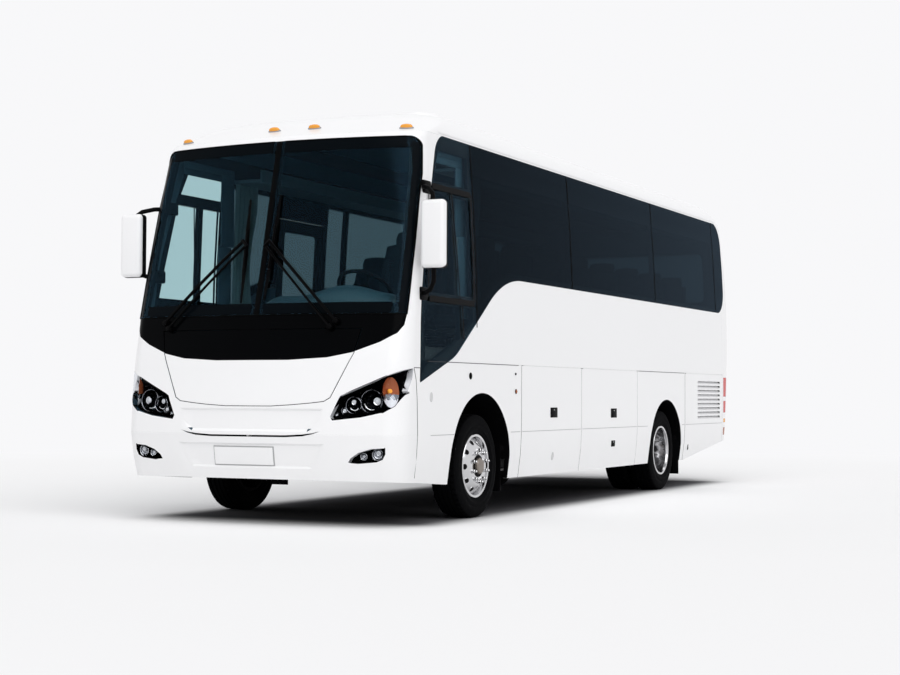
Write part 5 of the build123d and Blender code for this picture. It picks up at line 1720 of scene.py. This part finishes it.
    def underside(self) -> None:
        """U bolts of the springs and the exhaust with its silencer."""
        bm = bmesh.new()
        places = [(x, axle_y + dy) for axle_y in (FRONT_AXLE_Y, REAR_AXLE_Y)
                  for x in (0.435, -0.435) for dy in (-0.075, 0.075)]
        for x, y in places:
            add_tube(bm, [(x + dx, y, z) for dx, z in ((-0.052, 0.36), (-0.052, 0.555),
                                                       (0.052, 0.555), (0.052, 0.36))], 0.009, 8)
        to_object("spring_bolts", bm, (CHASSIS,), "body")
        bm = bmesh.new()
        pipe = ((0.55, 5.75, 0.62), (0.62, 6.0, 0.52), (0.62, 6.6, 0.52), (0.62, 6.95, 0.50),
                (0.62, 7.12, 0.50))
        silencer = ((0.62, 6.05, 0.52), (0.62, 6.55, 0.52))
        for line, radius, sides in ((pipe, 0.045, 16), (silencer, 0.105, 24)):
            add_tube(bm, [(x, station(y), z) for x, y, z in line], radius, sides)
        to_object("exhaust", bm, (CAST_IRON,), "body")


# ------------------------------------------------------------------ cabin
@dataclass
class Cabin:
    """What shows through the glass: seats, racks, dash and wheel."""

    skins: Skins
    shell: Shell
    floor_z: float = 1.220
    pitch: float = 0.760
    rows: int = 8
    door_rows: int = 2
    first_row: float = 0.330
    seat_x: tuple[float, float] = (0.4825, 0.9075)
    seat_width: float = 0.415
    wall_x: float = 1.163
    wall_lean: float = 0.045

    def build(self) -> None:
        """Dress the cabin's nodes and upholster the seats."""
        for node, finish, bevel in (("dashboard", DASH, 0.02), ("steering_column", MOULDED, 0.0),
                                    ("steering_wheel", MOULDED, 0.0),
                                    ("luggage_racks", RACK_GREY, 0.004),
                                    ("cabin_floor", FLOOR_VINYL, 0.0),
                                    ("entry_steps", FLOOR_VINYL, 0.003)):
            self.skins.make(node, (finish,), bevel)
        self.seats()
        self.cab_trim()
        self.dash_top()

    def dash_top(self) -> None:
        """Crowned top of the dash with the instrument hood in front of the wheel."""
        bm = bmesh.new()

        def place(u: float, v: float) -> Vector:
            """Point for shares of the dash's width and depth.

            Args:
                u: Share of the width.
                v: Share of the depth.

            Returns:
                The point.
            """
            x = -0.10 + 1.18 * u
            hood = 0.5 + 0.5 * cos(pi * min(1.0, abs(x - 0.62) / 0.42))
            crown = (0.17 + 0.075 * hood) * min(1.0, 9.0 * u, 14.0 * (1 - u)) ** 0.5
            front, _ = self.shell.front(x, 1.64)
            near = front.y + 0.075
            return Vector((x, near + (station(-0.975) - near) * v,
                           1.60 + crown * max(0.0, sin(pi * v)) ** 0.45))
        add_sheet(bm, 40, 16, place, 0.004)
        to_object("dash_top", bm, (DASH,), "body", SOFT_CREASE)

    def cab_trim(self) -> None:
        """Corner posts, the rail over the cab windows and curtains tied behind them."""
        bm = bmesh.new()
        for sign in (1, -1):
            for y0, y1, z0, z1 in ((-0.285, -0.085, 1.62, 2.94), (-0.86, -0.085, 2.835, 2.95)):
                for z in (z0, (z0 + z1) / 2):
                    lean = self.wall_x - (z + (z1 - z0) / 2 - 2.0) * self.wall_lean
                    add_block(bm, (sign * (lean - 0.012), station(y0), z),
                              (sign * lean, station(y1), z + (z1 - z0) / 2), 0.004)
        to_object("cab_post_trim", bm, (LINING,), "body")
        bm = bmesh.new()
        for sign in (1, -1):
            def place(u: float, v: float) -> Vector:
                """Point for shares of the curtain's width and height.

                Args:
                    u: Share of the width.
                    v: Share of the height.

                Returns:
                    The point.
                """
                z = 1.70 + 1.16 * v
                fold = 0.013 * sin(u * 30.0 + 1.5 * v) * (0.6 + 0.4 * v)
                waist = 1.0 - 0.25 * sin(pi * min(1.0, 1.3 * v))
                y = station(-0.075 + 0.34 * u * waist)
                return Vector((sign * (1.125 - (z - 2.0) * self.wall_lean + fold), y, z))
            add_sheet(bm, 36, 10, place, 0.003)
        to_object("cab_curtains", bm, (CURTAIN,), "body", SOFT_CREASE)

    def spots(self) -> list[tuple[float, float, float]]:
        """Middle X, middle Y and width of every seat place.

        Returns:
            The places.
        """
        places = []
        for row in range(self.rows):
            y = station(self.first_row + self.pitch * row)
            for x in self.seat_x:
                places += [(x, y, self.seat_width)]
                if row >= self.door_rows:
                    places += [(-x, y, self.seat_width)]
        return places + [(0.620, station(-0.420), 0.46)]

    @staticmethod
    def unit_pad() -> bpy.types.Mesh:
        """A cube of twos cut into a fine grid.

        Returns:
            Its mesh.
        """
        bm = bmesh.new()
        bmesh.ops.create_cube(bm, size=2.0)
        bmesh.ops.subdivide_edges(bm, edges=list(bm.edges), cuts=4, use_grid_fill=True)
        mesh = bpy.data.meshes.new("unit_pad")
        bm.to_mesh(mesh)
        bm.free()
        return mesh

    @staticmethod
    def pad(bm: BMesh, unit: bpy.types.Mesh, matrix: Matrix, size: Point, pull: float) -> None:
        """Add a crowned, rounded pad.

        Args:
            bm: The mesh to add to.
            unit: The gridded cube that it starts from.
            matrix: Where its middle goes.
            size: Full width, depth and height.
            pull: How far the corners draw in, from 0 to 1.
        """
        bm.from_mesh(unit)
        bm.verts.ensure_lookup_table()
        verts = bm.verts[-len(unit.vertices):]
        for vert in verts:
            far = vert.co.length_squared
            vert.co = [c * (1 - pull * (far - c * c) / 4) * full / 2
                       for c, full in zip(vert.co, size)]
        bmesh.ops.transform(bm, matrix=matrix, verts=verts)

    def seats(self) -> None:
        """Cushions, backs with head rests, shells and legs."""
        cushions, backs, shells = bmesh.new(), bmesh.new(), bmesh.new()
        unit = self.unit_pad()
        lean = Matrix.Rotation(radians(-13), 4, "X")
        z = self.floor_z
        for x, y, wide in self.spots():
            seat = Matrix.Translation((x, y, z + 0.40))
            self.pad(cushions, unit, seat, (wide, 0.46, 0.13), 0.35)
            back = Matrix.Translation((x, y + 0.255, z + 0.72)) @ lean
            self.pad(backs, unit, back, (wide - 0.01, 0.115, 0.66), 0.30)
            for offset in (-0.36, 0.36):
                bolster = back @ Matrix.Translation((offset * wide, -0.030, -0.06))
                self.pad(backs, unit, bolster, (0.085, 0.11, 0.50), 0.45)
            head = Matrix.Translation((x, y + 0.342, z + 1.060)) @ lean
            self.pad(backs, unit, head, (0.27, 0.10, 0.16), 0.45)
            add_block(shells, (x - wide * 0.4, y - 0.20, z + 0.28),
                      (x + wide * 0.4, y + 0.22, z + 0.335), 0.012)
            for leg in (y - 0.15, y + 0.12):
                add_block(shells, (x - 0.02, leg - 0.025, z), (x + 0.02, leg + 0.025, z + 0.29),
                          0.006)
        cushion = to_object("seat_cushions", cushions, (SEAT_CLOTH,), "body", SOFT_CREASE)
        back = to_object("seat_backs", backs, (SEAT_CLOTH,), "body", SOFT_CREASE)
        for made in (cushion, back):
            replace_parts(made, "seats")
        to_object("seat_frames", shells, (SEAT_SHELL,), "body")


# ------------------------------------------------------------------ studio
@dataclass
class Studio:
    """Pale floor with a painted shadow under the coach, a soft sun, a bright surround and the
    camera.
    """

    camera_at: Point = (6.948, -15.629, 0.990)
    yaw: float = 25.197
    pitch: float = 1.974
    roll: float = 0.231
    lens_mm: float = 68.37
    fill: float = 0.54
    sun: float = 1.82
    sun_way: Point = (-0.46, 0.60, -0.95)
    fade: tuple[float, float] = (8.5, 15.0)
    backdrop: Color = (0.938, 0.938, 0.952, 1.0)
    # Painted shadow: the darker floor colour under the coach and the width of its soft edge.
    patch_color: Color = (0.17, 0.17, 0.18, 1.0)
    patch_edge: float = 0.42
    floor_size: float = 160.0

    def build(self) -> None:
        """Set up everything around the coach."""
        self.floor()
        self.world()
        self.lamps()
        self.camera()
        bpy.context.scene.view_settings.view_transform = "Standard"

    def floor(self) -> None:
        """Large pale floor that keeps the coach's shadow, has a painted shadow under the coach and
        fades into the backdrop.
        """
        bm = bmesh.new()
        bmesh.ops.create_grid(bm, x_segments=2, y_segments=2, size=self.floor_size)
        mesh = bpy.data.meshes.new("studio_floor")
        bm.to_mesh(mesh)
        bm.free()
        material = bpy.data.materials.new("studio_floor")
        material.use_nodes = True
        tree = material.node_tree
        tree.nodes.clear()
        place = object_place(tree)
        reach = add_node(tree, "VectorMath", {"operation": "LENGTH"}, i0=place).outputs["Value"]
        far = soft_range(tree, reach, *self.fade, kind="SMOOTHERSTEP")
        cloud = grain(tree, 6.0).outputs["Cloud"]
        pale = blended(tree, cloud, (0.925, 0.925, 0.93, 1.0), (0.935, 0.935, 0.94, 1.0))
        # Painted shadow: the floor's colour darkens under the coach.
        shadowed = blended(tree, self.patch(tree, place), pale, self.patch_color)
        matt = add_node(tree, "BsdfPrincipled", Roughness=0.9, Specular_IOR_Level=0.0,
                        Base_Color=shadowed)
        glow = add_node(tree, "Emission", Color=self.backdrop, Strength=1.0)
        mix = add_node(tree, "MixShader", i0=far, i1=matt.outputs["BSDF"],
                       i2=glow.outputs["Emission"])
        add_node(tree, "OutputMaterial", Surface=mix.outputs["Shader"])
        mesh.materials.append(material)
        made = bpy.data.objects.new("studio_floor", mesh)
        bpy.context.scene.collection.objects.link(made)

    def patch(self, tree: bpy.types.NodeTree, place: bpy.types.NodeSocket
              ) -> bpy.types.NodeSocket:
        """Mask of the painted shadow on the floor right under the coach.

        Args:
            tree: The floor material's nodes.
            place: The point on the floor.

        Returns:
            One under the coach, falling to zero just outside it.
        """
        split = add_node(tree, "SeparateXYZ", Vector=place)
        shares = []
        for axis, middle, half in (("X", 0.0, 1.02), ("Y", 0.05, 3.75)):
            off = calculate(tree, "SUBTRACT", split.outputs[axis], middle)
            shares.append(soft_range(tree, calculate(tree, "ABSOLUTE", off), half,
                                     half + self.patch_edge, 1.0, 0.0, "SMOOTHSTEP"))
        return calculate(tree, "MULTIPLY", *shares)

    def world(self) -> None:
        """Even light for the coach, near white for what the camera, gloss and glass see."""
        world = bpy.data.worlds.new("studio")
        world.use_nodes = True
        tree = world.node_tree
        tree.nodes.clear()
        path = add_node(tree, "LightPath").outputs
        seen = calculate(tree, "MAXIMUM", path["Is Camera Ray"], path["Is Transmission Ray"])
        seen = calculate(tree, "MAXIMUM", seen, path["Is Glossy Ray"])
        bright = add_node(tree, "Background", Color=self.backdrop, Strength=1.0)
        soft = add_node(tree, "Background", Color=(0.99, 0.99, 1.0, 1.0), Strength=self.fill)
        mix = add_node(tree, "MixShader", i0=seen, i1=soft.outputs["Background"],
                       i2=bright.outputs["Background"])
        add_node(tree, "OutputWorld", Surface=mix.outputs["Shader"])
        bpy.context.scene.world = world

    def lamps(self) -> None:
        """One very soft sun from the front left and above."""
        data = bpy.data.lights.new("soft_sun", "SUN")
        data.angle = radians(70)
        data.energy = self.sun
        lamp = bpy.data.objects.new("soft_sun", data)
        lamp.rotation_euler = Vector(self.sun_way).to_track_quat("-Z", "Y").to_euler()
        bpy.context.scene.collection.objects.link(lamp)

    def camera(self) -> None:
        """Camera at the viewing angle that the coach is shown from."""
        yaw, pitch, roll = radians(self.yaw), radians(self.pitch), radians(self.roll)
        ahead = Vector((-sin(yaw) * cos(pitch), cos(yaw) * cos(pitch), sin(pitch)))
        right = Vector((cos(yaw), sin(yaw), 0.0))
        up = right.cross(ahead)
        right, up = right * cos(roll) + up * sin(roll), up * cos(roll) - right * sin(roll)
        data = bpy.data.cameras.new("camera")
        data.lens = self.lens_mm
        data.sensor_width = 36.0
        data.sensor_fit = "HORIZONTAL"
        data.clip_end = 400.0
        made = bpy.data.objects.new("camera", data)
        matrix = Matrix((right, up, -ahead)).transposed().to_4x4()
        matrix.translation = Vector(self.camera_at)
        made.matrix_world = matrix
        bpy.context.scene.collection.objects.link(made)
        bpy.context.scene.camera = made


def main() -> None:
    """Load the frame and build the coach's looks in order."""
    logging.basicConfig(level=logging.INFO, format="%(message)s")
    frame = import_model()
    bodies = frame["record"]["behaviour"]["bodies"]
    node_body = {node: body for body, nodes in bodies.items() for node in nodes}
    skins = Skins(frame["nodes"], node_body)
    shell = Shell(frame["nodes"])
    for assembly in (Bodywork(skins, shell), SideFittings(shell), Glazing(skins, shell),
                     FrontFace(shell), FrontLamps(skins, shell), RearFace(skins, shell),
                     RunningGear(skins), Cabin(skins, shell), Studio()):
        assembly.build()
        log.info("%s done", type(assembly).__name__)


if __name__ == "__main__":
    main()
